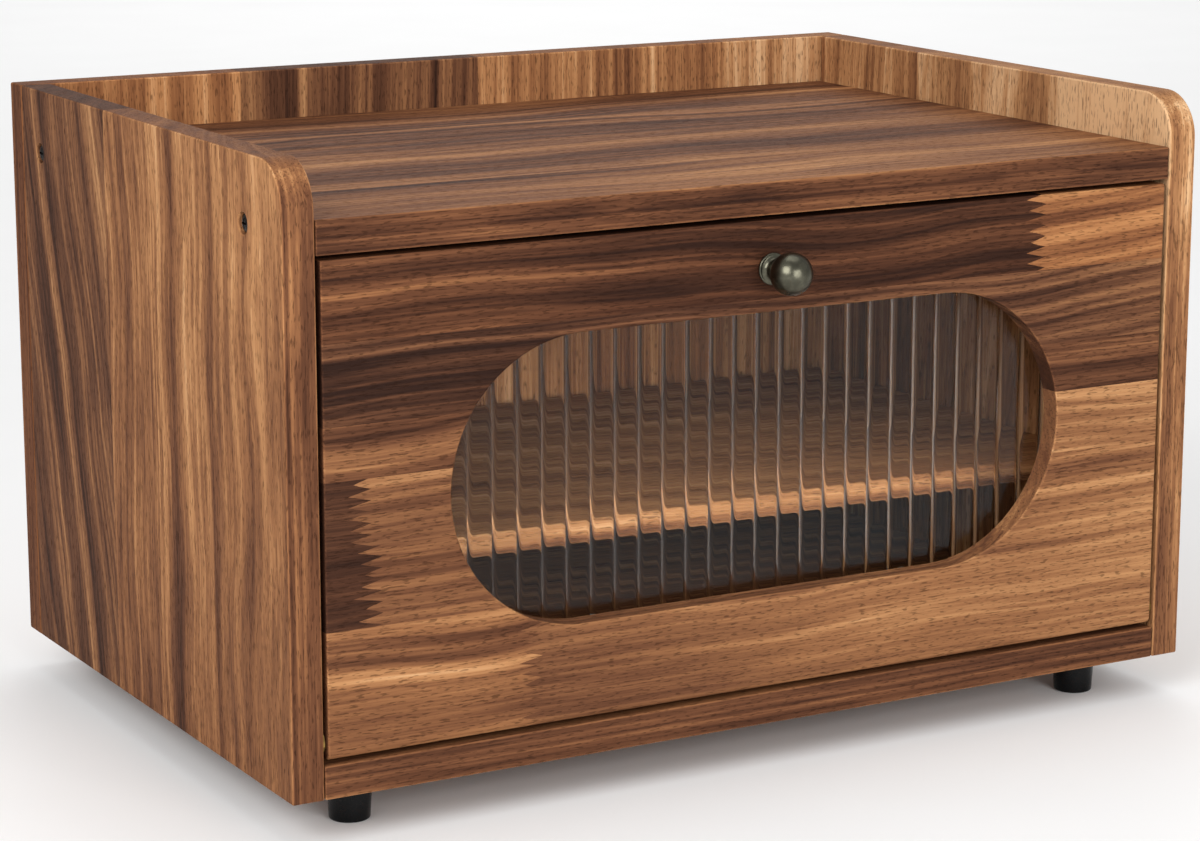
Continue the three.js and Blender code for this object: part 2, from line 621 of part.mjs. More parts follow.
function cabinet() {
  const group = new THREE.Group();
  group.add(backPanel(), topBoard(), bottomBoard(), shelf());
  for (const [side, hand] of Object.entries(SIDES)) {
    const outward = X.clone().multiplyScalar(hand);
    const inward = reversed(outward);
    group.add(sidePanel(`${side}_side_panel`, hand));
    for (const [end, y] of Object.entries(TOP_SCREW_Y)) {
      const x = hand * (WIDTH / 2 - TOP_SCREW_COUNTERBORE + JOINT_GAP);
      const name = `top_board_screw_${end}_${side}`;
      const seat = [x, y, TOP_SCREW_Z];
      group.add(screw(name, seat, outward, TOP_SCREW_LENGTH, WOOD_SCREW, blackSteel()));
    }
    for (const [end, y] of Object.entries(DOWEL_Y)) {
      const at = [hand * (INNER_X + DOWEL_IN_SIDE), y, UNDERSIDE + BOARD / 2];
      group.add(pin(`dowel_${end}_${side}`, at, inward, DOWEL_RADIUS, DOWEL_LENGTH, beech()));
    }
    for (const [end, y] of Object.entries(SHELF_PIN_Y)) {
      const at = [hand * (INNER_X + SHELF_PIN_IN_SIDE), y, SHELF_PIN_Z];
      const name = `shelf_pin_${end}_${side}`;
      group.add(pin(name, at, inward, SHELF_PIN_RADIUS, SHELF_PIN_LENGTH, screwSteel()));
    }
    for (const [end, towards] of Object.entries(ENDS)) {
      const place = footPlace(hand, towards);
      const seat = [...place, FOOT_RECESS_DEPTH - JOINT_GAP];
      group.add(foot(`foot_${end}_${side}`, place));
      group.add(screw(`foot_screw_${end}_${side}`, seat, reversed(Z), FOOT_SCREW_LENGTH, WOOD_SCREW));
    }
    group.add(pivotBush(`pivot_bush_${side}`, hand, inward));
    group.add(magnetCatch(`magnet_catch_${side}`, hand));
    const catchSeat = [hand * CATCH_X, CATCH_SCREW_Y, CATCH_TOP - CATCH_TAB - JOINT_GAP];
    group.add(screw(`catch_screw_${side}`, catchSeat, reversed(Z), CATCH_SCREW_LENGTH, SMALL_SCREW));
  }
  for (const [place, [x, z]] of Object.entries(BACK_SCREWS)) {
    const seat = [x, BACK - BACK_SCREW_COUNTERBORE + JOINT_GAP, z];
    group.add(screw(`back_screw_${place}`, seat, Y, BACK_SCREW_LENGTH, WOOD_SCREW));
  }
  return group;
}

function door() {
  const group = new THREE.Group();
  group.position.set(0, PIVOT_Y, PIVOT_Z);
  group.add(doorPanel(), windowPane(), knob());
  const knobSeat = [0, DOOR_BACK + JOINT_GAP, KNOB_Z];
  group.add(screw('knob_screw', knobSeat, Y, KNOB_SCREW_LENGTH, WOOD_SCREW));
  const overTab = DOOR_BACK + 2 * JOINT_GAP + TAB_THICKNESS;
  for (const [place, [x, upward]] of Object.entries(CLIP_PLACES)) {
    const z = WINDOW_Z + upward * (CLIP_REACH + CLIP_SCREW_OUT);
    group.add(paneClip(`pane_clip_${place}`, x, upward));
    group.add(screw(`clip_screw_${place}`, [x, overTab, z], Y, DOOR_SCREW_LENGTH, SMALL_SCREW));
  }
  for (const [side, hand] of Object.entries(SIDES)) {
    const inward = X.clone().multiplyScalar(-hand);
    const length = PIVOT_PIN_IN_SIDE + DOOR_GAP + PIVOT_PIN_IN_DOOR;
    const at = [hand * (INNER_X + PIVOT_PIN_IN_SIDE), 0, 0];
    group.add(pin(`pivot_pin_${side}`, at, inward, PIVOT_PIN_RADIUS, length, screwSteel()));
    group.add(strikePlate(`strike_plate_${side}`, hand));
    const strikeSeat = [strikeScrewX(hand), overTab, STRIKE_Z];
    group.add(screw(`strike_screw_${side}`, strikeSeat, Y, DOOR_SCREW_LENGTH, SMALL_SCREW));
  }
  return group;
}

const breadBox = new THREE.Group();
breadBox.add(cabinet(), door());

export default breadBox;
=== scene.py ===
"""Drop-front bread box: timber, glazing, hardware and a plain studio, in metres.

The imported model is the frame. Every piece takes its size and place from the nodes that it
stands for. +Z is up and the door faces -Y.
"""

import logging
import math
from collections.abc import Iterable, Sequence
from dataclasses import dataclass, field
from enum import Enum

import bmesh
import bpy
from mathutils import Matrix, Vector


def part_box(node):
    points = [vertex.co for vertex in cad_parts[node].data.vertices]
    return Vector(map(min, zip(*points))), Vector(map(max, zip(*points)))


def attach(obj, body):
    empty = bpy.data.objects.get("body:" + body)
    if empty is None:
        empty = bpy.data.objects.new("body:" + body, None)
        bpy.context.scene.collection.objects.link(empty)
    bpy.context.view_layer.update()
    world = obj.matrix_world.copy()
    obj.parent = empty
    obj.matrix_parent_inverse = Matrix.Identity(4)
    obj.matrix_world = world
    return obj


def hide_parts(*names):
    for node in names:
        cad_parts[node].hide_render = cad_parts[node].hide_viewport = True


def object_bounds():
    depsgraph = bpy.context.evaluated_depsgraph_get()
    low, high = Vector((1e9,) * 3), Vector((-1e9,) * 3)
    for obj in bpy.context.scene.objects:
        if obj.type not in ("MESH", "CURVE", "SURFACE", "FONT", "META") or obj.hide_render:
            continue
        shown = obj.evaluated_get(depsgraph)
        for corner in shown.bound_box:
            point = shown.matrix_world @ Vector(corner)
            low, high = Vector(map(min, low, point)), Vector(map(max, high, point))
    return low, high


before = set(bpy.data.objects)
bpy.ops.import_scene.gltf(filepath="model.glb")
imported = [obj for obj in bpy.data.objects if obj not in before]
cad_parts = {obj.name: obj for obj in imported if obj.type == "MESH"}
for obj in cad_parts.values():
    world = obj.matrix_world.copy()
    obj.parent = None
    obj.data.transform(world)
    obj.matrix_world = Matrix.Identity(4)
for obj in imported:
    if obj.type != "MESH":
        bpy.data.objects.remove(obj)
CAD_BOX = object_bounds()

LOG = logging.getLogger("bread_box")
MM = 0.001
SIDES = {"left": -1, "right": 1}
HOLE_RUNOUT = 1 * MM
HOLE_OVERLAP = 0.5 * MM
CORNER_STEPS = 32
WELD = 0.001 * MM

Point = tuple[float, float]
Colour = tuple[float, float, float, float]


class Axis(Enum):
    """One axis of the frame."""

    X = 0
    Y = 1
    Z = 2

    @property
    def unit(self) -> Vector:
        """The axis as a unit vector."""
        return Vector([1.0 if index == self.value else 0.0 for index in range(3)])


class Body(Enum):
    """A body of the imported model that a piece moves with."""

    CABINET = "cabinet"
    DOOR = "door"


class Slot(Enum):
    """A material slot of the record."""

    SIDE_WOOD = "side_wood"
    BACK_WOOD = "back_wood"
    BOARD_WOOD = "board_wood"
    DOOR_WOOD = "door_wood"
    DOWEL = "beech_dowel"
    ACRYLIC = "reeded_acrylic"
    PEWTER = "antique_pewter"
    STEEL = "zinc_steel"
    BLACK_STEEL = "black_screw"
    BRASS = "brass_bush"
    FOOT = "black_foot"
    CATCH = "black_catch"


@dataclass(frozen=True)
class Extent:
    """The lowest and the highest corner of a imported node."""

    low: Vector
    high: Vector

    @classmethod
    def of(cls, node: str) -> "Extent":
        """The extent of the node with this name."""
        low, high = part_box(node)
        return cls(Vector(low), Vector(high))

    @property
    def centre(self) -> Vector:
        """The middle of the extent."""
        return (self.low + self.high) / 2

    @property
    def size(self) -> Vector:
        """Its length along each axis."""
        return self.high - self.low


def enlist(piece: bpy.types.Object, body: Body, slot: Slot, *nodes: str) -> None:
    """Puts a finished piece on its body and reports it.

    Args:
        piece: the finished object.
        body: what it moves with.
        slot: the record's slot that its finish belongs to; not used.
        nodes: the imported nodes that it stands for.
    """
    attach(piece, body.value)
    if nodes:
        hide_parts(*nodes)
    LOG.info("%-22s %6d faces, on the %s, for %d nodes",
             piece.name, len(piece.data.polygons), body.value, len(nodes))


# ---- node trees ----------------------------------------------------------------------------


def srgb(red: int, green: int, blue: int) -> Colour:
    """A colour given in display values from 0 to 255, as linear values.

    Args:
        red: the red channel.
        green: the green channel.
        blue: the blue channel.

    Returns:
        The linear colour, opaque.
    """

    def linear(value: int) -> float:
        """One channel, decoded."""
        share = value / 255
        return share / 12.92 if share <= 0.04045 else ((share + 0.055) / 1.055) ** 2.4

    return (linear(red), linear(green), linear(blue), 1.0)


class Graph:
    """Adds nodes to one tree and feeds their inputs by socket or by value."""

    def __init__(self, tree: bpy.types.NodeTree) -> None:
        """Takes the tree that the nodes go into."""
        self.tree = tree

    def feed(self, socket: bpy.types.NodeSocket, value: object) -> None:
        """Links a socket to another, or sets its value.

        Args:
            socket: the input.
            value: a socket to link it to, or a value.
        """
        if isinstance(value, bpy.types.NodeSocket):
            self.tree.links.new(value, socket)
        else:
            socket.default_value = value

    def add(self, kind: str, inputs: dict | None = None, **settings: object) -> bpy.types.Node:
        """Adds one node.

        Args:
            kind: Blender's name for the node.
            inputs: sockets or values by the input's name or number.
            settings: properties of the node itself.

        Returns:
            The new node.
        """
        node = self.tree.nodes.new(kind)
        for name, value in settings.items():
            setattr(node, name, value)
        for key, value in (inputs or {}).items():
            self.feed(node.inputs[key], value)
        return node

    def math(self, operation: str, *values: object) -> bpy.types.NodeSocket:
        """One step of arithmetic on one to three values."""
        return self.add("ShaderNodeMath", dict(enumerate(values)), operation=operation).outputs[0]

    def vector(self, operation: str, *values: object) -> bpy.types.NodeSocket:
        """One step of vector arithmetic.

        Args:
            operation: Blender's name for the step.
            values: sockets or values.

        Returns:
            The result, a vector or a number.
        """
        node = self.add("ShaderNodeVectorMath", dict(enumerate(values)), operation=operation)
        scalar = operation in ("LENGTH", "DOT_PRODUCT")
        return node.outputs["Value" if scalar else "Vector"]

    def combine(self, x: object, y: object, z: object) -> bpy.types.NodeSocket:
        """A vector of three values."""
        return self.add("ShaderNodeCombineXYZ", {0: x, 1: y, 2: z}).outputs[0]

    def split(self, vector: bpy.types.NodeSocket) -> list[bpy.types.NodeSocket]:
        """The three values of a vector."""
        return list(self.add("ShaderNodeSeparateXYZ", {0: vector}).outputs)


class ShaderGraph(Graph):
    """A material's nodes."""

    def __init__(self, name: str) -> None:
        """Makes an empty material with this name.

        Args:
            name: the material's name.
        """
        self.material = bpy.data.materials.new(name)
        self.material.use_nodes = True
        super().__init__(self.material.node_tree)
        self.tree.nodes.clear()

    def place(self) -> bpy.types.NodeSocket:
        """Object coordinates, which are the frame's own, in metres."""
        return self.add("ShaderNodeTexCoord").outputs["Object"]

    def facing(self) -> bpy.types.NodeSocket:
        """The surface's normal in the frame."""
        return self.add("ShaderNodeTexCoord").outputs["Normal"]

    def noise(self, at: bpy.types.NodeSocket, scale: float, detail: float = 2.0,
              roughness: float = 0.5, distortion: float = 0.0) -> bpy.types.NodeSocket:
        """Soft noise from 0 to 1 over a vector.

        Args:
            at: the place.
            scale: how fine it is, per metre.
            detail: how many finer layers it has.
            roughness: how strong those layers are.
            distortion: how far it is twisted.

        Returns:
            A value from 0 to 1.
        """
        inputs = {"Vector": at, "Scale": scale, "Detail": detail, "Roughness": roughness,
                  "Distortion": distortion}
        return self.add("ShaderNodeTexNoise", inputs).outputs[0]

    def drawn_noise(self, at: bpy.types.NodeSocket, along: float, across: float,
                    detail: float = 2.0, roughness: float = 0.5) -> bpy.types.NodeSocket:
        """Soft noise drawn out along a vector's first number.

        Args:
            at: the place along, across and into the timber.
            along: the noise's scale along the first number, per metre.
            across: its scale along the other two.
            detail: how many finer layers it has.
            roughness: how strong those layers are.

        Returns:
            A value from 0 to 1.
        """
        stretched = self.vector("MULTIPLY", at, (along, across, across))
        return self.noise(stretched, 1.0, detail, roughness)

    def noise_along(self, value: bpy.types.NodeSocket, scale: float, detail: float,
                    roughness: float) -> bpy.types.NodeSocket:
        """Soft noise from 0 to 1 over one number."""
        inputs = {"W": value, "Scale": scale, "Detail": detail, "Roughness": roughness}
        return self.add("ShaderNodeTexNoise", inputs, noise_dimensions="1D").outputs[0]

    def rise(self, value: object, start: float, stop: float, low: float = 0.0,
             high: float = 1.0) -> bpy.types.NodeSocket:
        """A smooth step from low at start to high at stop.

        Args:
            value: the number that drives the step.
            start: where it begins.
            stop: where it ends.
            low: the result before it.
            high: the result after it.

        Returns:
            The stepped value.
        """
        inputs = {"Value": value, "From Min": start, "From Max": stop, "To Min": low,
                  "To Max": high}
        node = self.add("ShaderNodeMapRange", inputs, interpolation_type="SMOOTHSTEP")
        return node.outputs[0]

    def share(self, value: object, low: float, high: float) -> bpy.types.NodeSocket:
        """How far a value lies from low to high, kept between 0 and 1."""
        inputs = {"Value": value, "From Min": low, "From Max": high}
        return self.add("ShaderNodeMapRange", inputs).outputs[0]

    def mix(self, factor: object, first: object, second: object) -> bpy.types.NodeSocket:
        """A number between two others."""
        node = self.add("ShaderNodeMix", {0: factor, 2: first, 3: second}, data_type="FLOAT")
        return node.outputs[0]

    def mix_colour(self, factor: object, first: object, second: object,
                   blend: str = "MIX") -> bpy.types.NodeSocket:
        """A blend of two colours.

        Args:
            factor: from 0 for the first to 1 for the second.
            first: one colour.
            second: the other colour.
            blend: Blender's name for the kind of blend.

        Returns:
            The blended colour.
        """
        node = self.add("ShaderNodeMix", {0: factor, 6: first, 7: second}, data_type="RGBA",
                        blend_type=blend)
        return node.outputs[2]

    def ramp(self, factor: bpy.types.NodeSocket, stops: Sequence[tuple[float, Colour]],
             interpolation: str = "LINEAR") -> bpy.types.Node:
        """A colour ramp through the given stops.

        Args:
            factor: the place on the ramp.
            stops: places from 0 to 1 with their colours, in order.
            interpolation: how it goes from one stop to the next.

        Returns:
            The ramp's node, whose outputs are the colour and the alpha.
        """
        node = self.add("ShaderNodeValToRGB", {0: factor})
        ramp = node.color_ramp
        ramp.interpolation = interpolation
        for index, (position, colour) in enumerate(stops):
            made = ramp.elements[index] if index < 2 else ramp.elements.new(position)
            made.position = position
            made.color = colour
        return node

    def bump(self, height: bpy.types.NodeSocket, distance: float,
             strength: float = 1.0) -> bpy.types.NodeSocket:
        """A normal bent by a height from 0 to 1 times the distance."""
        inputs = {"Height": height, "Distance": distance, "Strength": strength}
        return self.add("ShaderNodeBump", inputs).outputs[0]

    def principled(self, inputs: dict) -> bpy.types.Node:
        """The surface shader, with these inputs."""
        return self.add("ShaderNodeBsdfPrincipled", inputs)

    def close(self, shader: bpy.types.NodeSocket) -> bpy.types.Material:
        """Sends a shader to the output and gives the finished material."""
        self.add("ShaderNodeOutputMaterial", {"Surface": shader})
        return self.material


# ---- finishes ------------------------------------------------------------------------------

TIMBER_TONES = (
    (0.0, srgb(44, 27, 19)),
    (0.18, srgb(70, 43, 28)),
    (0.38, srgb(103, 66, 42)),
    (0.58, srgb(139, 94, 58)),
    (0.78, srgb(176, 127, 80)),
    (1.0, srgb(213, 170, 120)),
)
PORE_BROWN = srgb(40, 23, 15)
COOL_TINT = (0.93, 1.02, 1.25, 1.0)
WARM_TINT = (1.05, 0.98, 1.02, 1.0)
# how far apart two staves' figures lie along, across and into the timber, by seed
SEED_STEPS = (7.3, 3.1, 5.7)
# how nearly a face must look along an axis to count as end grain or as an edge
SQUARE_ON = (0.7, 0.98)


@dataclass(frozen=True)
class Stave:
    """One strip of a glued-up board.

    start: its lower edge across the grain.
    tone: from 0, dark, to 1, light, at the low end of the grain and at the high end.
    warmth: from 0, grey-brown, to 1, orange-brown.
    seed: picks its figure.
    joint: where a finger joint ends it along the grain, if there is one.
    beyond: tone at both ends, warmth and seed past the joint.
    slope: how far its figure climbs across the grain, per length along it.
    """

    start: float
    tone: tuple[float, float]
    warmth: float
    seed: float
    joint: float | None = None
    beyond: tuple[float, float, float, float] | None = None
    slope: float = 0.0

    @property
    def first(self) -> Colour:
        """Its values up to the joint, as a ramp's colour."""
        return (*self.tone, self.warmth, self.seed)

    @property
    def second(self) -> Colour:
        """Its values past the joint, as a ramp's colour."""
        return self.beyond or self.first


@dataclass(frozen=True)
class Acacia:
    """Lacquered acacia, glued up from staves with finger joints.

    grain, across, depth: the axes that the figure follows in one board.
    reach: the board's low and high end along the grain.
    span: its low and high edge across the grain.
    staves: the strips, from the low edge up.
    bands: places across the grain with a tone added there, blended smoothly.
    sway: how far the figure wanders across the grain.
    run: how often its streaks start and end along the grain, per metre.
    contrast: strength of the figure.
    finger_pitch, finger_length: spacing and length of the fingers in a joint.
    pore_depth, pores: depth of the pores, and the levels of noise where they open.
    end_tone, edge_tone: tone added on end grain and on edges.
    painted_arris_highlight: a painted highlight, tone added along the rounded arrises.
    end_figure: share of the figure that is lost on end grain.
    pith: the rings' centre, from the board's low edge and from the frame's middle.
    pith_step: how far that centre moves across the grain with the seed.
    """

    name: str
    grain: Axis
    across: Axis
    depth: Axis
    reach: Point
    span: Point
    staves: tuple[Stave, ...]
    bands: tuple[Point, ...] = ()
    sway: float = 0.006
    run: float = 4.0
    contrast: float = 1.0
    finger_pitch: float = 4.2 * MM
    finger_length: float = 9 * MM
    pore_depth: float = 0.22 * MM
    pores: Point = (0.57, 0.68)
    end_tone: float = -0.16
    edge_tone: float = -0.13
    # painted highlight: tone that lightens the rounded arrises
    painted_arris_highlight: float = 0.35
    end_figure: float = 0.6
    pith: tuple[float, float] = (-0.02, -0.05)
    pith_step: float = 0.11

    def share(self, place: float) -> float:
        """Where a place across the grain lies between the board's edges."""
        low, high = self.span
        return min(max((place - low) / (high - low), 0.0), 1.0)

    def stops(self, colours: Iterable[Colour]) -> list[tuple[float, Colour]]:
        """Ramp stops at the staves' lower edges."""
        return [(self.share(stave.start), colour) for stave, colour in zip(self.staves, colours)]

    def stave_values(self, graph: ShaderGraph, along: bpy.types.NodeSocket,
                     over: bpy.types.NodeSocket) -> tuple[bpy.types.NodeSocket, ...]:
        """Tone, warmth and seed of the stave under a point.

        Args:
            graph: the material's nodes.
            along: the place along the grain.
            over: the place across it.

        Returns:
            Tone, warmth and seed.
        """
        low, high = self.span
        share = graph.share(over, low, high)
        first = graph.ramp(share, self.stops(s.first for s in self.staves), "CONSTANT")
        second = graph.ramp(share, self.stops(s.second for s in self.staves), "CONSTANT")
        start, stop = self.reach
        length = stop - start
        ends = [1.0 if s.joint is None else (s.joint - start) / length for s in self.staves]
        joints = graph.ramp(share, self.stops((end, end, end, 1.0) for end in ends), "CONSTANT")
        position = graph.share(along, start, stop)
        finger = graph.math("PINGPONG", over, self.finger_pitch / 2)
        uneven = graph.math("ADD", graph.noise_along(over, 170.0, 1.0, 0.5), 0.5)
        finger = graph.math("MULTIPLY", finger, uneven)
        teeth = graph.math("MULTIPLY", finger, 2 * self.finger_length / self.finger_pitch / length)
        reached = graph.math("SUBTRACT", graph.math("ADD", position, teeth), joints.outputs[0])
        past = graph.math("GREATER_THAN", reached, self.finger_length / length)
        before, after = (graph.add("ShaderNodeSeparateColor", {0: ramp.outputs[0]}).outputs
                         for ramp in (first, second))
        near = graph.mix(past, before[0], after[0])
        far = graph.mix(past, before[1], after[1])
        warmth = graph.mix(past, before[2], after[2])
        seed = graph.mix(past, first.outputs[1], second.outputs[1])
        return graph.mix(position, near, far), warmth, seed

    def own_place(self, graph: ShaderGraph, seed: bpy.types.NodeSocket,
                  *place: bpy.types.NodeSocket) -> bpy.types.NodeSocket:
        """A place along, across and into the timber, shifted so that no two staves match."""
        return graph.combine(*(graph.math("MULTIPLY_ADD", seed, step, value)
                               for step, value in zip(SEED_STEPS, place)))

    def wander(self, graph: ShaderGraph, own: bpy.types.NodeSocket, along: bpy.types.NodeSocket,
               over: bpy.types.NodeSocket) -> bpy.types.NodeSocket:
        """The place across the grain, bent as the figure bends.

        Args:
            graph: the material's nodes.
            own: the stave's own place in the noise.
            along: the place along the grain.
            over: the place across it.

        Returns:
            The bent place.
        """
        slow = graph.drawn_noise(own, 5.5, 9.0, 1.0)
        drift = graph.drawn_noise(own, 16.0, 26.0, 1.0)
        slopes = graph.ramp(graph.share(over, *self.span), self.stops(
            (0.5 + stave.slope,) * 3 + (1.0,) for stave in self.staves), "CONSTANT").outputs[0]
        bent = graph.math("MULTIPLY_ADD", along, graph.math("SUBTRACT", slopes, 0.5), over)
        for source, reach in ((slow, 4 * self.sway), (drift, self.sway / 2)):
            bent = graph.math("MULTIPLY_ADD", graph.math("SUBTRACT", source, 0.5), reach, bent)
        return bent

    def rings(self, graph: ShaderGraph, seed: bpy.types.NodeSocket, bent: bpy.types.NodeSocket,
              into: bpy.types.NodeSocket) -> bpy.types.NodeSocket:
        """How far a point lies from the pith, which differs from stave to stave.

        Args:
            graph: the material's nodes.
            seed: the stave's seed.
            bent: the bent place across the grain.
            into: the place into the board.

        Returns:
            The distance in metres.
        """
        outside, under = self.pith
        middle = graph.math("MULTIPLY_ADD", seed, self.pith_step, self.span[0] + outside)
        return graph.vector("LENGTH", graph.combine(
            graph.math("SUBTRACT", bent, middle), graph.math("SUBTRACT", into, under), 0.0))

    def banded(self, graph: ShaderGraph, bent: bpy.types.NodeSocket,
               figure: bpy.types.NodeSocket) -> bpy.types.NodeSocket:
        """The figure with the board's light and dark bands added.

        Args:
            graph: the material's nodes.
            bent: the bent place across the grain.
            figure: the figure so far.

        Returns:
            The figure with its bands.
        """
        stops = [(self.share(place), (0.5 + add,) * 3 + (1.0,)) for place, add in self.bands]
        band = graph.ramp(graph.share(bent, *self.span), stops, "EASE").outputs[0]
        return graph.math("ADD", figure, graph.math("SUBTRACT", band, 0.5))

    def exposed(self, graph: ShaderGraph, figure: bpy.types.NodeSocket,
                tone: bpy.types.NodeSocket) -> bpy.types.NodeSocket:
        """Tone and figure together, changed on end grain and edges, with a painted highlight on the
        arrises.

        Args:
            graph: the material's nodes.
            figure: the figure.
            tone: the stave's tone.

        Returns:
            The place on the ramp of timber tones.
        """
        faces = graph.split(graph.vector("ABSOLUTE", graph.facing()))
        end_grain = graph.rise(faces[self.grain.value], *SQUARE_ON)
        edge = graph.rise(faces[self.across.value], *SQUARE_ON)
        through = faces[self.depth.value]
        # painted highlight: the bevels' in-between normals mark the rounded arrises, and the tone
        # there is raised
        arris = graph.math("MULTIPLY", through, graph.math("SUBTRACT", 1.0, through))
        kept = graph.math("MULTIPLY_ADD", end_grain, -self.end_figure, 1.0)
        value = graph.math("MULTIPLY_ADD", figure, kept, tone)
        for place, added in ((edge, self.edge_tone), (arris, self.painted_arris_highlight),
                             (end_grain, self.end_tone)):
            value = graph.math("MULTIPLY_ADD", place, added, value)
        return value

    def material(self) -> bpy.types.Material:
        """Makes the board's material.

        Returns:
            The finished material.
        """
        graph = ShaderGraph(self.name)
        axes = graph.split(graph.place())
        along, over, into = (axes[axis.value] for axis in (self.grain, self.across, self.depth))
        tone, warmth, seed = self.stave_values(graph, along, over)
        own = self.own_place(graph, seed, along, over, into)
        bent = self.wander(graph, own, along, over)
        led = self.own_place(graph, seed, along, bent, into)
        rings = self.rings(graph, seed, bent, into)

        growth = graph.noise_along(graph.math("MULTIPLY_ADD", seed, 3.7, rings), 150.0, 4.0, 0.62)
        lines = graph.noise_along(graph.math("MULTIPLY_ADD", seed, 9.1, rings), 420.0, 2.0, 0.5)
        streak = graph.drawn_noise(led, self.run, 120.0, 4.0, 0.6)
        thread = graph.drawn_noise(led, 2 * self.run, 430.0, 3.0, 0.6)
        fibre = graph.drawn_noise(own, 24.0, 1100.0)
        cloud = graph.drawn_noise(own, 6.0, 14.0)
        figure = 0.0
        for source, weight in ((growth, 0.75), (lines, 0.35), (streak, 0.60), (thread, 0.45),
                               (fibre, 0.30), (cloud, 0.35)):
            level = graph.math("SUBTRACT", source, 0.5)
            figure = graph.math("MULTIPLY_ADD", level, weight * self.contrast, figure)
        if self.bands:
            figure = self.banded(graph, bent, figure)

        pore = graph.rise(graph.drawn_noise(own, 240.0, 1700.0, 1.0), *self.pores)
        colour = graph.ramp(self.exposed(graph, figure, tone), TIMBER_TONES).outputs[0]
        tint = graph.mix_colour(warmth, COOL_TINT, WARM_TINT)
        colour = graph.mix_colour(1.0, colour, tint, "MULTIPLY")
        colour = graph.mix_colour(graph.math("MULTIPLY", pore, 0.5), colour, PORE_BROWN)
        relief = graph.math("MULTIPLY_ADD", fibre, 0.35, graph.math("MULTIPLY", pore, -1.0))
        roughness = graph.math("MULTIPLY_ADD", pore, 0.2, graph.mix(streak, 0.52, 0.68))
        shader = graph.principled({
            "Base Color": colour,
            "Roughness": roughness,
            "Specular IOR Level": 0.04,
            "Normal": graph.bump(relief, self.pore_depth, 0.6),
        })
        return graph.close(shader.outputs[0])


@dataclass(frozen=True)
class ReededAcrylic:
    """Clear cast acrylic, with faint draw marks, that lets lamps light what is behind it.

    tint: colour of the light that passes.
    gloss: strength of its mirror, seen square on.
    roughness: the middle of its range.
    """

    tint: Colour = (0.985, 0.98, 0.965, 1.0)
    gloss: Colour = (0.2, 0.2, 0.2, 1.0)
    roughness: float = 0.012

    def material(self) -> bpy.types.Material:
        """Makes the acrylic.

        Returns:
            The finished material.
        """
        graph = ShaderGraph("reeded_acrylic")
        marks = graph.noise(graph.vector("MULTIPLY", graph.place(), (900.0, 300.0, 9.0)), 1.0)
        clear = graph.principled({
            "Base Color": self.tint,
            "Roughness": graph.mix(marks, self.roughness * 0.5, self.roughness * 1.5),
            "IOR": 1.49,
            "Specular Tint": self.gloss,
            "Transmission Weight": 1.0,
            "Normal": graph.bump(marks, 0.004 * MM, 0.2),
        })
        lamp = graph.add("ShaderNodeBsdfTransparent", {0: self.tint})
        path = graph.add("ShaderNodeLightPath").outputs["Is Shadow Ray"]
        both = graph.add("ShaderNodeMixShader", {0: path, 1: clear.outputs[0], 2: lamp.outputs[0]})
        return graph.close(both.outputs[0])


@dataclass(frozen=True)
class WornMetal:
    """Metal whose film has darkened unevenly and is worn through in places.

    bright, dull: its colour where the film is worn and where it is whole.
    roughness: where the film is worn, and where it is whole.
    grain: how fine its surface is, per metre.
    """

    name: str
    bright: Colour
    dull: Colour
    roughness: Point
    grain: float = 900.0

    def material(self) -> bpy.types.Material:
        """Makes the metal.

        Returns:
            The finished material.
        """
        graph = ShaderGraph(self.name)
        place = graph.place()
        film = graph.noise(place, 260.0, 3.0, 0.6)
        fine = graph.noise(place, self.grain, 2.0)
        worn = graph.rise(film, 0.38, 0.62)
        shader = graph.principled({
            "Base Color": graph.mix_colour(worn, self.dull, self.bright),
            "Metallic": 1.0,
            "Roughness": graph.mix(graph.math("MULTIPLY_ADD", fine, 0.4,
                                              graph.math("MULTIPLY", worn, 0.6)),
                                   self.roughness[1], self.roughness[0]),
            "Normal": graph.bump(fine, 0.03 * MM, 0.3),
        })
        return graph.close(shader.outputs[0])


@dataclass(frozen=True)
class Moulded:
    """Moulded plastic with a fine surface and a little wear.

    colour, scuffed: its colour, and its colour where it is scuffed.
    roughness: the lowest and the highest.
    texture, grain: depth of its surface, and how fine that is, per metre.
    gloss: strength of its mirror.
    """

    name: str
    colour: Colour
    scuffed: Colour
    roughness: Point
    texture: float = 0.04 * MM
    grain: float = 1400.0
    gloss: float = 0.5

    def material(self) -> bpy.types.Material:
        """Makes the plastic.

        Returns:
            The finished material.
        """
        graph = ShaderGraph(self.name)
        place = graph.place()
        fine = graph.noise(place, self.grain, 2.0)
        scuff = graph.rise(graph.noise(place, 180.0, 4.0, 0.7), 0.58, 0.75)
        shader = graph.principled({
            "Base Color": graph.mix_colour(scuff, self.colour, self.scuffed),
            "Roughness": graph.mix(graph.math("MAXIMUM", scuff, fine), *self.roughness),
            "Specular IOR Level": self.gloss,
            "Normal": graph.bump(fine, self.texture, 0.4),
        })
        return graph.close(shader.outputs[0])


@dataclass(frozen=True)
class PlainTimber:
    """Raw straight-grained beech for the dowels.

    light, dark: the wood's colour and its flecks'.
    """

    light: Colour = field(default_factory=lambda: srgb(222, 190, 146))
    dark: Colour = field(default_factory=lambda: srgb(190, 150, 105))

    def material(self) -> bpy.types.Material:
        """Makes the beech.

        Returns:
            The finished material.
        """
        graph = ShaderGraph("beech")
        place = graph.place()
        fleck = graph.drawn_noise(place, 60.0, 900.0, 3.0)
        shader = graph.principled({
            "Base Color": graph.mix_colour(graph.rise(fleck, 0.35, 0.65), self.dark, self.light),
            "Roughness": graph.mix(fleck, 0.6, 0.8),
            "Normal": graph.bump(fleck, 0.08 * MM, 0.5),
        })
        return graph.close(shader.outputs[0])


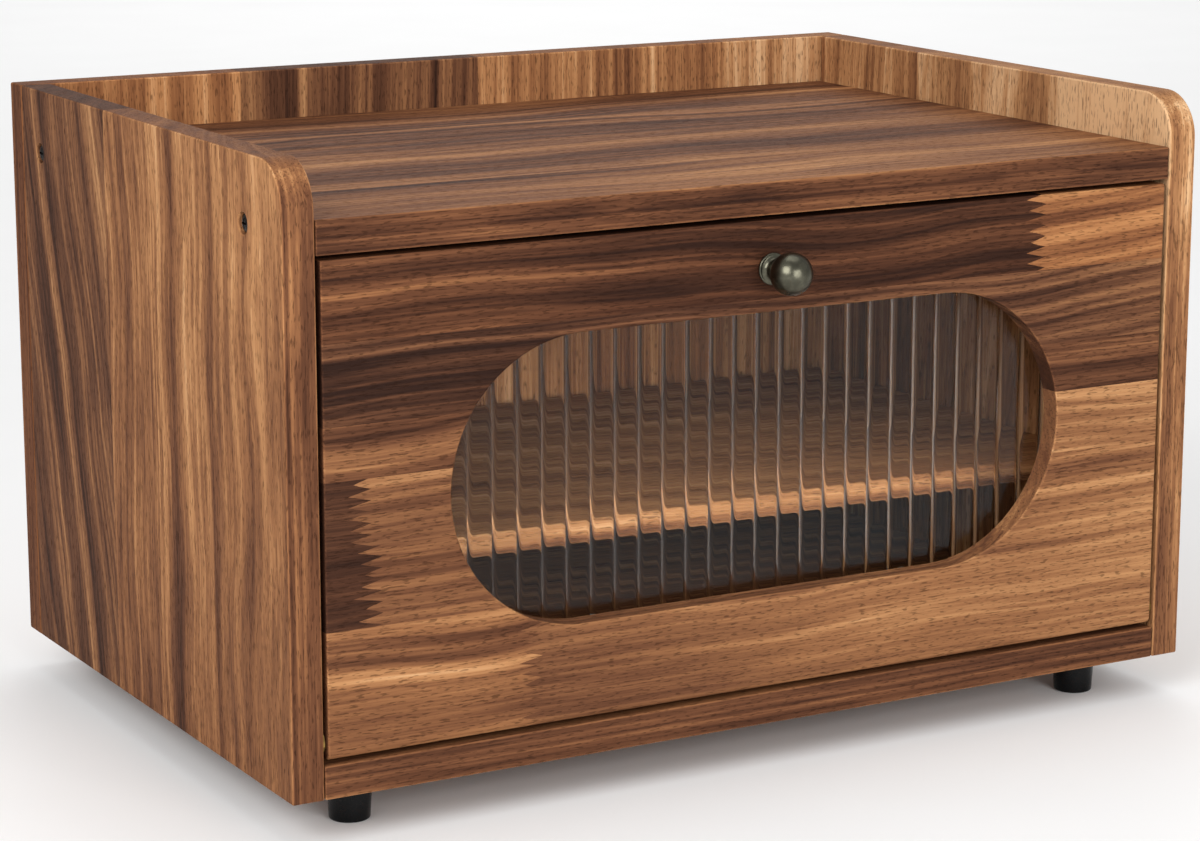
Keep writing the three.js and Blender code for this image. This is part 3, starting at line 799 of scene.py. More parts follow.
PEWTER = WornMetal("antique_pewter", srgb(96, 94, 81), srgb(80, 78, 67), (0.26, 0.33))
ZINC = WornMetal("zinc_steel", srgb(196, 198, 200), srgb(150, 153, 158), (0.26, 0.42))
BLACK_STEEL = WornMetal("black_steel", srgb(52, 50, 50), srgb(34, 32, 31), (0.34, 0.5))
BRASS = WornMetal("turned_brass", srgb(150, 120, 68), srgb(104, 82, 46), (0.34, 0.50))
FOOT_BLACK = Moulded("black_foot", srgb(5, 5, 6), srgb(20, 20, 21), (0.20, 0.32), gloss=0.2)
CATCH_BLACK = Moulded("black_catch", srgb(22, 22, 23), srgb(44, 44, 45), (0.42, 0.62), 0.08 * MM)


def side_timber(name: str, extent: Extent) -> Acacia:
    """The timber of a side panel: upright grain in two staves.

    Args:
        name: the side, "left" or "right".
        extent: the panel's extent.

    Returns:
        The panel's timber.
    """
    front = extent.low.y
    # millimetres from the front edge, and the tone added there
    bands = ((0, -0.04), (10, 0.10), (23, 0.06), (31, -0.08), (41, 0.05), (51, 0.05), (62, -0.04),
             (80, 0.10), (101, -0.07), (121, 0.10), (148, -0.05), (166, -0.02), (182, -0.10),
             (194, 0.08), (204, -0.08), (222, 0.06), (238, -0.08), (256, -0.02))
    if name == "left":
        staves = (Stave(front, (0.44, 0.60), 0.60, 0.17),
                  Stave(front + 166 * MM, (0.38, 0.40), 0.30, 0.71, slope=-0.2))
    else:
        staves = (Stave(front, (0.58, 0.82), 0.50, 0.58),
                  Stave(front + 178 * MM, (0.52, 0.72), 0.60, 0.33))
    return Acacia(f"{name}_side_acacia", Axis.Z, Axis.Y, Axis.X, (extent.low.z, extent.high.z),
                  (extent.low.y, extent.high.y), staves,
                  tuple((front + place * MM, add) for place, add in bands), sway=0.010, run=14.0)


def back_timber(extent: Extent) -> Acacia:
    """The timber of the back panel: upright staves, a dark one between lighter ones.

    Args:
        extent: the board's extent.

    Returns:
        The board's timber.
    """
    # millimetres from the middle of the panel, and the tone added there
    bands = ((-200, -0.10), (-155, 0.04), (-110, 0.02), (-100, 0.14), (-94, -0.08), (-80, -0.06),
             (-75, 0.06), (-66, -0.08), (-55, -0.05), (-48, 0.10), (-38, -0.04), (-12, -0.06),
             (-4, 0.06), (8, -0.02), (12, 0.12), (30, 0.02), (60, 0.04), (72, -0.14), (90, -0.12),
             (96, 0.10), (108, -0.06), (118, -0.10), (132, -0.08), (140, 0.04), (200, 0.04))
    staves = (Stave(extent.low.x, (0.60, 0.60), 0.95, 0.07),
              Stave(-104 * MM, (0.42, 0.42), 0.35, 0.27),
              Stave(9 * MM, (0.64, 0.66), 0.75, 0.47),
              Stave(134 * MM, (0.72, 0.74), 0.60, 0.67))
    return Acacia("back_acacia", Axis.Z, Axis.X, Axis.Y, (extent.low.z, extent.high.z),
                  (extent.low.x, extent.high.x), staves,
                  tuple((place * MM, add) for place, add in bands), sway=0.002)


def top_timber(extent: Extent) -> Acacia:
    """The timber of the top board.

    Args:
        extent: the board's extent.

    Returns:
        The board's timber.
    """
    front = extent.low.y
    staves = (Stave(front, (0.42, 0.46), 0.65, 0.21),
              Stave(front + 58 * MM, (0.40, 0.40), 0.6, 0.43),
              Stave(front + 128 * MM, (0.38, 0.44), 0.6, 0.67),
              Stave(front + 196 * MM, (0.34, 0.42), 0.7, 0.86))
    return Acacia("top_acacia", Axis.X, Axis.Y, Axis.Z, (extent.low.x, extent.high.x),
                  (extent.low.y, extent.high.y), staves, sway=0.010, contrast=1.15)


def bottom_timber(extent: Extent) -> Acacia:
    """The timber of the bottom board.

    Args:
        extent: the board's extent.

    Returns:
        The board's timber.
    """
    front = extent.low.y
    staves = (Stave(front, (0.50, 0.50), 0.6, 0.37),
              Stave(front + 74 * MM, (0.44, 0.48), 0.5, 0.53),
              Stave(front + 160 * MM, (0.50, 0.44), 0.5, 0.79))
    return Acacia("bottom_acacia", Axis.X, Axis.Y, Axis.Z, (extent.low.x, extent.high.x),
                  (extent.low.y, extent.high.y), staves)


def shelf_timber(extent: Extent) -> Acacia:
    """The timber of the shelf.

    Args:
        extent: the board's extent.

    Returns:
        The board's timber.
    """
    front = extent.low.y
    staves = (Stave(front, (0.72, 0.66), 0.6, 0.29),
              Stave(front + 66 * MM, (0.66, 0.74), 0.7, 0.61),
              Stave(front + 138 * MM, (0.70, 0.64), 0.6, 0.83))
    return Acacia("shelf_acacia", Axis.X, Axis.Y, Axis.Z, (extent.low.x, extent.high.x),
                  (extent.low.y, extent.high.y), staves)


def door_timber(extent: Extent) -> Acacia:
    """The timber of the door: six level staves, four of them finger-jointed.

    Args:
        extent: the board's extent.

    Returns:
        The board's timber.
    """
    foot = extent.low.z
    staves = (
        Stave(foot, (0.51, 0.51), 0.60, 0.13, -107 * MM, (0.34, 0.68, 0.50, 0.31)),
        Stave(foot + 47 * MM, (0.22, 0.22), 0.40, 0.83, -172 * MM, (0.41, 0.66, 0.50, 0.47)),
        Stave(foot + 77 * MM, (0.22, 0.22), 0.35, 0.95, -176 * MM, (0.42, 0.64, 0.45, 0.62)),
        Stave(foot + 102 * MM, (0.43, 0.27), 0.50, 0.25),
        Stave(foot + 122 * MM, (0.16, 0.37), 0.30, 0.39),
        Stave(foot + 152 * MM, (0.24, 0.15), 0.70, 0.73, 118 * MM, (0.60, 0.56, 1.0, 0.90)),
    )
    return Acacia("door_acacia", Axis.X, Axis.Z, Axis.Y, (extent.low.x, extent.high.x),
                  (extent.low.z, extent.high.z), staves)


# ---- meshes --------------------------------------------------------------------------------


def arc(centre: Point, radius: float, start: float, stop: float, steps: int) -> list[Point]:
    """Points along an arc, both ends included.

    Args:
        centre: the arc's centre.
        radius: its radius.
        start: its first angle in degrees.
        stop: its last angle in degrees.
        steps: how many chords it has.

    Returns:
        The points, in order.
    """
    angles = (math.radians(start + (stop - start) * step / steps) for step in range(steps + 1))
    return [(centre[0] + radius * math.cos(a), centre[1] + radius * math.sin(a)) for a in angles]


def rectangle(low: Point, high: Point, radii: Sequence[float] = (0, 0, 0, 0),
              steps: int = 16) -> list[Point]:
    """A rectangle's outline with its own radius at each corner.

    Args:
        low: the lower left corner.
        high: the upper right corner.
        radii: lower left, lower right, upper right and upper left.
        steps: chords on each rounded corner.

    Returns:
        The outline, anticlockwise.
    """
    corners = ((low[0], low[1], 1, 1), (high[0], low[1], -1, 1), (high[0], high[1], -1, -1),
               (low[0], high[1], 1, -1))
    outline: list[Point] = []
    for turn, ((x, y, right, up), radius) in enumerate(zip(corners, radii)):
        if radius:
            centre = (x + right * radius, y + up * radius)
            outline += arc(centre, radius, 180 + 90 * turn, 270 + 90 * turn, steps)
        else:
            outline.append((x, y))
    return outline


def stadium(centre: Point, length: float, height: float, steps: int = 40) -> list[Point]:
    """The outline of a slot with round ends, lying along its first axis.

    Args:
        centre: its middle.
        length: its whole length.
        height: its width across.
        steps: chords on each round end.

    Returns:
        The outline, anticlockwise.
    """
    radius = height / 2
    reach = length / 2 - radius
    right = arc((centre[0] + reach, centre[1]), radius, -90, 90, steps)
    return right + arc((centre[0] - reach, centre[1]), radius, 90, 270, steps)


def object_of(name: str, mesh: bmesh.types.BMesh) -> bpy.types.Object:
    """Turns mesh code's result into an object in the scene.

    Args:
        name: the object's name.
        mesh: the mesh code's result, which is freed.

    Returns:
        The new object.
    """
    data = bpy.data.meshes.new(name)
    mesh.to_mesh(data)
    mesh.free()
    piece = bpy.data.objects.new(name, data)
    bpy.context.scene.collection.objects.link(piece)
    return piece


def prism(name: str, outline: Sequence[Point], plane: tuple[Axis, Axis], along: Axis,
          ends: Point) -> bpy.types.Object:
    """A closed solid with one outline all along an axis.

    Args:
        name: the object's name.
        outline: the section's points.
        plane: the axes of the section's first and second number.
        along: the axis that it runs along.
        ends: where it starts and stops on that axis.

    Returns:
        The new object.
    """
    mesh = bmesh.new()
    rings = []
    for end in ends:
        ring = [mesh.verts.new(plane[0].unit * u + plane[1].unit * v + along.unit * end)
                for u, v in outline]
        mesh.faces.new(ring)
        rings.append(ring)
    count = len(outline)
    for index in range(count):
        after = (index + 1) % count
        mesh.faces.new((rings[0][index], rings[0][after], rings[1][after], rings[1][index]))
    bmesh.ops.recalc_face_normals(mesh, faces=mesh.faces)
    return object_of(name, mesh)


def rod(name: str, centre: Vector, radius: float, along: Axis, ends: Point,
        sides: int = 32) -> bpy.types.Object:
    """A round cutter along an axis.

    Args:
        name: the object's name.
        centre: a point on its middle line.
        radius: its radius.
        along: the axis that it runs along.
        ends: where it starts and stops on that axis.
        sides: how many sides it has.

    Returns:
        The new object.
    """
    plane = tuple(axis for axis in Axis if axis is not along)
    middle = (centre[plane[0].value], centre[plane[1].value])
    return prism(name, arc(middle, radius, 0, 360, sides)[:-1], plane, along, ends)


def turned(name: str, profile: Sequence[Point], foot: Vector, along: Vector,
           sides: int = 64) -> bpy.types.Object:
    """A closed turned solid whose profile starts and ends on its axis.

    Args:
        name: the object's name.
        profile: radius and distance along the axis, for each point.
        foot: where the axis starts.
        along: the axis's direction.
        sides: how many sides it has.

    Returns:
        The new object.
    """
    across = along.orthogonal().normalized()
    other = along.cross(across)
    mesh = bmesh.new()
    rings = []
    for radius, distance in profile:
        at = foot + along * distance
        if radius == 0:
            rings.append([mesh.verts.new(at)] * sides)
            continue
        turn = [2 * math.pi * side / sides for side in range(sides)]
        rings.append([mesh.verts.new(at + (across * math.cos(a) + other * math.sin(a)) * radius)
                      for a in turn])
    for low, high in zip(rings, rings[1:]):
        for side in range(sides):
            after = (side + 1) % sides
            corners = dict.fromkeys((low[side], low[after], high[after], high[side]))
            mesh.faces.new(list(corners))
    bmesh.ops.recalc_face_normals(mesh, faces=mesh.faces)
    return object_of(name, mesh)


def settle(piece: bpy.types.Object) -> None:
    """Turns a piece's modifiers into its plain mesh.

    Args:
        piece: the object whose modifiers are made plain.
    """
    depsgraph = bpy.context.evaluated_depsgraph_get()
    made = bpy.data.meshes.new_from_object(piece.evaluated_get(depsgraph), depsgraph=depsgraph)
    piece.modifiers.clear()
    old = piece.data
    piece.data = made
    made.name = piece.name
    bpy.data.meshes.remove(old)


def carve(piece: bpy.types.Object, cutters: Iterable[bpy.types.Object]) -> None:
    """Cuts solids out of a piece and throws the cutters away.

    Args:
        piece: the solid that is cut.
        cutters: the solids that are taken out of it.
    """
    tools = list(cutters)
    for tool in tools:
        step = piece.modifiers.new(tool.name, "BOOLEAN")
        step.operation = "DIFFERENCE"
        step.solver = "EXACT"
        step.object = tool
    settle(piece)
    for tool in tools:
        bpy.data.meshes.remove(tool.data)


def soften(piece: bpy.types.Object, width: float, segments: int = 3) -> None:
    """Rounds every sharp edge of a piece and shades its flats flat.

    Args:
        piece: the solid.
        width: how far the rounding reaches on each face.
        segments: steps across the rounding.
    """
    piece.data.polygons.foreach_set("use_smooth", [True] * len(piece.data.polygons))
    bevel = piece.modifiers.new("arris", "BEVEL")
    bevel.width = width
    bevel.segments = segments
    bevel.limit_method = "ANGLE"
    bevel.angle_limit = math.radians(35)
    bevel.use_clamp_overlap = False
    split = piece.modifiers.new("split", "TRIANGULATE")
    split.ngon_method = "BEAUTY"
    split.min_vertices = 5
    flats = piece.modifiers.new("flats", "WEIGHTED_NORMAL")
    flats.weight = 90
    settle(piece)


def dress(piece: bpy.types.Object, material: bpy.types.Material) -> None:
    """Gives a piece one material."""
    piece.data.materials.clear()
    piece.data.materials.append(material)


class Hole(Enum):
    """A kind of round hole: the nodes that it holds, its axis and its radius."""

    TOP_SCREW = ("top_board_screw", Axis.X, 2.2 * MM)
    DOWEL = ("dowel", Axis.X, 4.3 * MM)
    SHELF_PIN = ("shelf_pin", Axis.X, 2.8 * MM)
    BUSH = ("pivot_bush", Axis.X, 3.8 * MM)
    PIVOT_PIN = ("pivot_pin", Axis.X, 2.3 * MM)
    BACK_SCREW = ("back_screw", Axis.Y, 2.2 * MM)
    KNOB_SCREW = ("knob_screw", Axis.Y, 2.2 * MM)
    CLIP_SCREW = ("clip_screw", Axis.Y, 1.6 * MM)
    STRIKE_SCREW = ("strike_screw", Axis.Y, 1.6 * MM)
    FOOT_SCREW = ("foot_screw", Axis.Z, 2.2 * MM)
    CATCH_SCREW = ("catch_screw", Axis.Z, 1.6 * MM)


def nodes_of(prefix: str) -> list[str]:
    """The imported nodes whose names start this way, in order."""
    return sorted(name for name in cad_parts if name.startswith(prefix))


def holes_in(board: Extent, *kinds: Hole) -> list[bpy.types.Object]:
    """Cutters for the holes that a board's fasteners need.

    Args:
        board: the board's extent.
        kinds: the kinds of hole that it may have.

    Returns:
        A cutter for each node of those kinds that reaches into the board.
    """
    cutters = []
    for kind in kinds:
        prefix, along, radius = kind.value
        for node in nodes_of(prefix):
            held = Extent.of(node)
            shared = [min(board.high[i], held.high[i]) - max(board.low[i], held.low[i])
                      for i in range(3)]
            if min(shared) > HOLE_OVERLAP:
                ends = (held.low[along.value] - HOLE_RUNOUT, held.high[along.value] + HOLE_RUNOUT)
                cutters.append(rod(f"bore_{node}", held.centre, radius, along, ends))
    return cutters


def counterbores(prefix: str, along: Axis, face: float, depth: float,
                 radius: float = 4 * MM) -> list[bpy.types.Object]:
    """Cutters that sink screw heads into a face.

    Args:
        prefix: how the screws' names start.
        along: the screws' axis.
        face: where the face lies on that axis.
        depth: how deep the heads sit, negative to cut towards the axis's low end.
        radius: the cutters' radius.

    Returns:
        One cutter for each screw whose head lies at that face.
    """
    cutters = []
    for node in nodes_of(prefix):
        held = Extent.of(node)
        if held.low[along.value] - abs(depth) < face < held.high[along.value] + abs(depth):
            ends = sorted((face + depth, face - math.copysign(HOLE_RUNOUT, depth)))
            cutters.append(rod(f"seat_{node}", held.centre, radius, along, tuple(ends)))
    return cutters


# ---- Geometry Nodes ------------------------------------------------------------------------


class ShapeTree(Graph):
    """A Geometry Nodes tree that makes one shape and sets it on every point of a piece.

    Its inputs are the sizes by name, and the material. The shape is made round its own
    origin, facing +Z, and each copy is turned to its point's direction.
    """

    def __init__(self, name: str, sizes: dict[str, float | int]) -> None:
        """Makes the tree with an input for each size.

        Args:
            name: the tree's name.
            sizes: each input's name and value.
        """
        super().__init__(bpy.data.node_groups.new(name, "GeometryNodeTree"))
        self.sizes = sizes
        face = self.tree.interface
        face.new_socket("Points", in_out="INPUT", socket_type="NodeSocketGeometry")
        for label, value in sizes.items():
            kind = "NodeSocketInt" if isinstance(value, int) else "NodeSocketFloat"
            face.new_socket(label, in_out="INPUT", socket_type=kind)
        face.new_socket("Material", in_out="INPUT", socket_type="NodeSocketMaterial")
        face.new_socket("Shape", in_out="OUTPUT", socket_type="NodeSocketGeometry")
        self.given = self.add("NodeGroupInput").outputs

    def moved(self, shape: bpy.types.NodeSocket, x: object = 0.0, y: object = 0.0,
              z: object = 0.0) -> bpy.types.NodeSocket:
        """The shape, carried along the axes."""
        inputs = {"Geometry": shape, "Translation": self.combine(x, y, z)}
        return self.add("GeometryNodeTransform", inputs).outputs[0]

    def cylinder(self, radius: object, low: object, high: object,
                 sides: int = 32) -> bpy.types.NodeSocket:
        """A closed cylinder on the Z axis, from low to high.

        Args:
            radius: its radius.
            low: where it starts.
            high: where it ends.
            sides: how many sides it has.

        Returns:
            The cylinder.
        """
        depth = self.math("SUBTRACT", high, low)
        made = self.add("GeometryNodeMeshCylinder",
                        {"Vertices": sides, "Fill Segments": 4, "Radius": radius, "Depth": depth})
        middle = self.math("MULTIPLY", self.math("ADD", low, high), 0.5)
        return self.moved(made.outputs[0], z=middle)

    def block(self, x: object, y: object, z: object) -> bpy.types.NodeSocket:
        """A closed block round the origin."""
        return self.add("GeometryNodeMeshCube", {"Size": self.combine(x, y, z)}).outputs[0]

    def thickened(self, sheet: bpy.types.NodeSocket, height: object) -> bpy.types.NodeSocket:
        """A sheet that faces +Z, made a closed solid of this height above it.

        Args:
            sheet: the flat shape.
            height: the solid's height.

        Returns:
            The solid.
        """
        raised = self.add("GeometryNodeExtrudeMesh", {
            "Mesh": sheet, "Offset": self.combine(0.0, 0.0, height), "Offset Scale": 1.0,
            "Individual": False})
        under = self.add("GeometryNodeFlipFaces", {0: sheet}).outputs[0]
        both = self.joined(raised.outputs[0], under)
        return self.add("GeometryNodeMergeByDistance", {0: both, "Distance": WELD}).outputs[0]

    def rounded_plate(self, length: object, width: object, radius: object,
                      height: object) -> bpy.types.NodeSocket:
        """A plate with round corners that lies on the XY plane.

        Args:
            length: its size along X.
            width: its size along Y.
            radius: its corners' radius.
            height: its thickness.

        Returns:
            The plate, standing on the plane.
        """
        frame_curve = self.add("GeometryNodeCurvePrimitiveQuadrilateral",
                               {"Width": length, "Height": width}).outputs[0]
        outline = self.add("GeometryNodeFilletCurve",
                           {"Curve": frame_curve, "Count": CORNER_STEPS, "Radius": radius,
                            "Limit Radius": True}, mode="POLY").outputs[0]
        sheet = self.add("GeometryNodeFillCurve", {"Curve": outline}, mode="NGONS").outputs[0]
        tidy = self.add("GeometryNodeMergeByDistance", {0: sheet, "Distance": WELD}).outputs[0]
        return self.thickened(tidy, height)

    def joined(self, *shapes: bpy.types.NodeSocket) -> bpy.types.NodeSocket:
        """The shapes side by side in one.

        Args:
            shapes: the parts.

        Returns:
            All of them as one geometry.
        """
        node = self.add("GeometryNodeJoinGeometry")
        for shape in shapes:
            self.tree.links.new(shape, node.inputs[0])
        return node.outputs[0]

    def combined(self, operation: str, *shapes: bpy.types.NodeSocket) -> bpy.types.NodeSocket:
        """A union or intersection of the shapes, or the first one less the others.

        Args:
            operation: UNION, INTERSECT or DIFFERENCE.
            shapes: the solids.

        Returns:
            The resulting solid.
        """
        node = self.add("GeometryNodeMeshBoolean", operation=operation, solver="EXACT")
        first, *others = shapes
        if operation == "DIFFERENCE":
            self.feed(node.inputs["Mesh 1"], first)
        else:
            others = shapes
        for shape in others:
            self.tree.links.new(shape, node.inputs["Mesh 2"])
        return node.outputs[0]

    def reshaped(self, shape: bpy.types.NodeSocket, position: bpy.types.NodeSocket,
                 where: object = True) -> bpy.types.NodeSocket:
        """The shape with its points moved."""
        inputs = {"Geometry": shape, "Selection": where, "Position": position}
        return self.add("GeometryNodeSetPosition", inputs).outputs[0]

    def positions(self) -> list[bpy.types.NodeSocket]:
        """X, Y and Z of each point."""
        return self.split(self.add("GeometryNodeInputPosition").outputs[0])

    def finish(self, shape: bpy.types.NodeSocket, axis: str = "Z", pivot: str = "AUTO") -> None:
        """Sets the shape on every point, turned to its direction, and ends the tree.

        Args:
            shape: the shape round its own origin.
            axis: the shape's axis that is turned to the point's direction.
            pivot: the axis that it is turned about.
        """
        heading = self.add("GeometryNodeInputNamedAttribute", {"Name": "direction"},
                           data_type="FLOAT_VECTOR").outputs[0]
        turn = self.add("FunctionNodeAlignRotationToVector", {"Vector": heading}, axis=axis,
                        pivot_axis=pivot).outputs[0]
        copies = self.add("GeometryNodeInstanceOnPoints",
                          {"Points": self.given["Points"], "Instance": shape, "Rotation": turn})
        real = self.add("GeometryNodeRealizeInstances", {0: copies.outputs[0]}).outputs[0]
        dressed = self.add("GeometryNodeSetMaterial",
                           {"Geometry": real, "Material": self.given["Material"]}).outputs[0]
        self.add("NodeGroupOutput", {"Shape": dressed})

    def grow(self, name: str, points: Sequence[tuple[Vector, Vector]],
             material: bpy.types.Material) -> bpy.types.Object:
        """Runs the tree on new points and keeps the result as a plain mesh.

        Args:
            name: the piece's name.
            points: the place and the direction of each copy.
            material: the finish of them all.

        Returns:
            The finished piece.
        """
        data = bpy.data.meshes.new(name)
        data.from_pydata([place for place, _ in points], [], [])
        headings = data.attributes.new("direction", "FLOAT_VECTOR", "POINT")
        for item, (_, direction) in zip(headings.data, points):
            item.vector = direction
        piece = bpy.data.objects.new(name, data)
        bpy.context.scene.collection.objects.link(piece)
        modifier = piece.modifiers.new(self.tree.name, "NODES")
        modifier.node_group = self.tree
        values = {**self.sizes, "Material": material}
        for socket in self.tree.interface.items_tree:
            if socket.name in values:
                modifier[socket.identifier] = values[socket.name]
        settle(piece)
        shade(piece)
        return piece


def shade(piece: bpy.types.Object, angle: float = 38.0) -> None:
    """Shades a piece smooth, apart from edges sharper than the angle in degrees."""
    piece.data.polygons.foreach_set("use_smooth", [True] * len(piece.data.polygons))
    piece.data.set_sharp_from_angle(angle=math.radians(angle))


# ---- sub-assemblies ------------------------------------------------------------------------


@dataclass
class Carcass:
    """The sides, the back, the top board and the bottom board.

    corner: radius of the sides' front top corners.
    arris: rounding of every edge.
    side_seat, back_seat: how deep the screw heads lie in the sides and in the back.
    """

    corner: float = 18 * MM
    arris: float = 0.8 * MM
    side_seat: float = 3 * MM
    back_seat: float = 3 * MM

    def side(self, name: str, hand: int) -> None:
        """Builds and dresses a side panel.

        Args:
            name: the side, "left" or "right".
            hand: -1 on the left and 1 on the right.
        """
        node = f"{name}_side_panel"
        extent = Extent.of(node)
        outline = rectangle(extent.low.yz, extent.high.yz, (0, 0, 0, self.corner))
        panel = prism(f"{name}_side", outline, (Axis.Y, Axis.Z), Axis.X,
                      (extent.low.x, extent.high.x))
        outer = extent.high.x if hand > 0 else extent.low.x
        cutters = holes_in(extent, Hole.TOP_SCREW, Hole.DOWEL, Hole.SHELF_PIN, Hole.BUSH,
                           Hole.BACK_SCREW)
        carve(panel, cutters + counterbores("top_board_screw", Axis.X, outer,
                                            -hand * self.side_seat))
        soften(panel, self.arris)
        dress(panel, side_timber(name, extent).material())
        enlist(panel, Body.CABINET, Slot.SIDE_WOOD, node)

    def back(self) -> None:
        """Builds and dresses the back panel."""
        extent = Extent.of("back_panel")
        outline = rectangle(extent.low.xz, extent.high.xz)
        panel = prism("back", outline, (Axis.X, Axis.Z), Axis.Y, (extent.low.y, extent.high.y))
        carve(panel, holes_in(extent, Hole.BACK_SCREW)
              + counterbores("back_screw", Axis.Y, extent.high.y, -self.back_seat))
        soften(panel, self.arris)
        dress(panel, back_timber(extent).material())
        enlist(panel, Body.CABINET, Slot.BACK_WOOD, "back_panel")

    def board(self, name: str, timber: Acacia) -> None:
        """Builds and dresses the top or the bottom board.

        Args:
            name: the node that it stands for.
            timber: its timber.
        """
        extent = Extent.of(name)
        outline = rectangle(extent.low.xy, extent.high.xy)
        board = prism(name.replace("_board", ""), outline, (Axis.X, Axis.Y), Axis.Z,
                      (extent.low.z, extent.high.z))
        carve(board, holes_in(extent, Hole.TOP_SCREW, Hole.DOWEL, Hole.BACK_SCREW,
                              Hole.FOOT_SCREW, Hole.CATCH_SCREW))
        soften(board, self.arris)
        dress(board, timber.material())
        enlist(board, Body.CABINET, Slot.BOARD_WOOD, name)

    def build(self) -> None:
        """Builds all five boards."""
        for name, hand in SIDES.items():
            self.side(name, hand)
        self.back()
        self.board("top_board", top_timber(Extent.of("top_board")))
        self.board("bottom_board", bottom_timber(Extent.of("bottom_board")))


@dataclass
class Shelf:
    """The loose shelf and the four pins under it.

    corner: radius of the shelf's corners.
    arris: rounding of its edges.
    pin_arris: rounding of the pins' ends.
    """

    corner: float = 4 * MM
    arris: float = 1.2 * MM
    pin_arris: float = 0.5 * MM

    def board(self) -> None:
        """Builds and dresses the shelf itself."""
        extent = Extent.of("shelf_board")
        outline = rectangle(extent.low.xy, extent.high.xy, (self.corner,) * 4, 8)
        board = prism("shelf", outline, (Axis.X, Axis.Y), Axis.Z, (extent.low.z, extent.high.z))
        soften(board, self.arris)
        dress(board, shelf_timber(extent).material())
        enlist(board, Body.CABINET, Slot.BOARD_WOOD, "shelf_board")

    def pins(self) -> None:
        """Builds the four pins with Geometry Nodes."""
        nodes = nodes_of("shelf_pin")
        first = Extent.of(nodes[0])
        tree = ShapeTree("Shelf pin", {"Radius": first.size.z / 2, "Length": first.size.x})
        half = tree.math("MULTIPLY", tree.given["Length"], 0.5)
        shape = tree.cylinder(tree.given["Radius"], tree.math("MULTIPLY", half, -1.0), half)
        tree.finish(shape)
        places = [(Extent.of(node).centre, Axis.X.unit) for node in nodes]
        pins = tree.grow("shelf_pins", places, ZINC.material())
        soften(pins, self.pin_arris, 2)
        enlist(pins, Body.CABINET, Slot.STEEL, *nodes)

    def build(self) -> None:
        """Builds the shelf and its pins."""
        self.board()
        self.pins()


@dataclass
class Door:
    """The drop-front door: its panel, rebated behind a stadium window.

    lower_edge: radius of the lower front edge, which swings under the pivot.
    lip: how far the pane reaches beyond the window all round.
    rebate_gap: play round the pane.
    arris: rounding of the other edges.
    """

    lower_edge: float = 3 * MM
    lip: float = 7.7 * MM
    rebate_gap: float = 0.3 * MM
    arris: float = 0.9 * MM

    def slot_cutter(self, name: str, spread: float, ends: Point) -> bpy.types.Object:
        """A stadium cutter this much larger than the pane all round.

        Args:
            name: the cutter's name.
            spread: how far it reaches past the pane, or short of it if negative.
            ends: where it starts and stops through the door.

        Returns:
            The cutter.
        """
        pane = Extent.of("window_pane")
        outline = stadium(pane.centre.xz, pane.size.x + 2 * spread, pane.size.z + 2 * spread)
        return prism(name, outline, (Axis.X, Axis.Z), Axis.Y, ends)

    def build(self) -> None:
        """Builds and dresses the door panel."""
        extent = Extent.of("door_panel")
        pane = Extent.of("window_pane")
        profile = rectangle(extent.low.yz, extent.high.yz, (self.lower_edge, 0, 0, 0), 8)
        panel = prism("door", profile, (Axis.Y, Axis.Z), Axis.X, (extent.low.x, extent.high.x))
        through = (extent.low.y - HOLE_RUNOUT, extent.high.y + HOLE_RUNOUT)
        seat = (pane.low.y - self.rebate_gap, extent.high.y + HOLE_RUNOUT)
        carve(panel, [self.slot_cutter("window", -self.lip, through),
                      self.slot_cutter("rebate", self.rebate_gap, seat),
                      *holes_in(extent, Hole.PIVOT_PIN, Hole.KNOB_SCREW, Hole.CLIP_SCREW,
                                Hole.STRIKE_SCREW)])
        soften(panel, self.arris)
        dress(panel, door_timber(extent).material())
        enlist(panel, Body.DOOR, Slot.DOOR_WOOD, "door_panel")


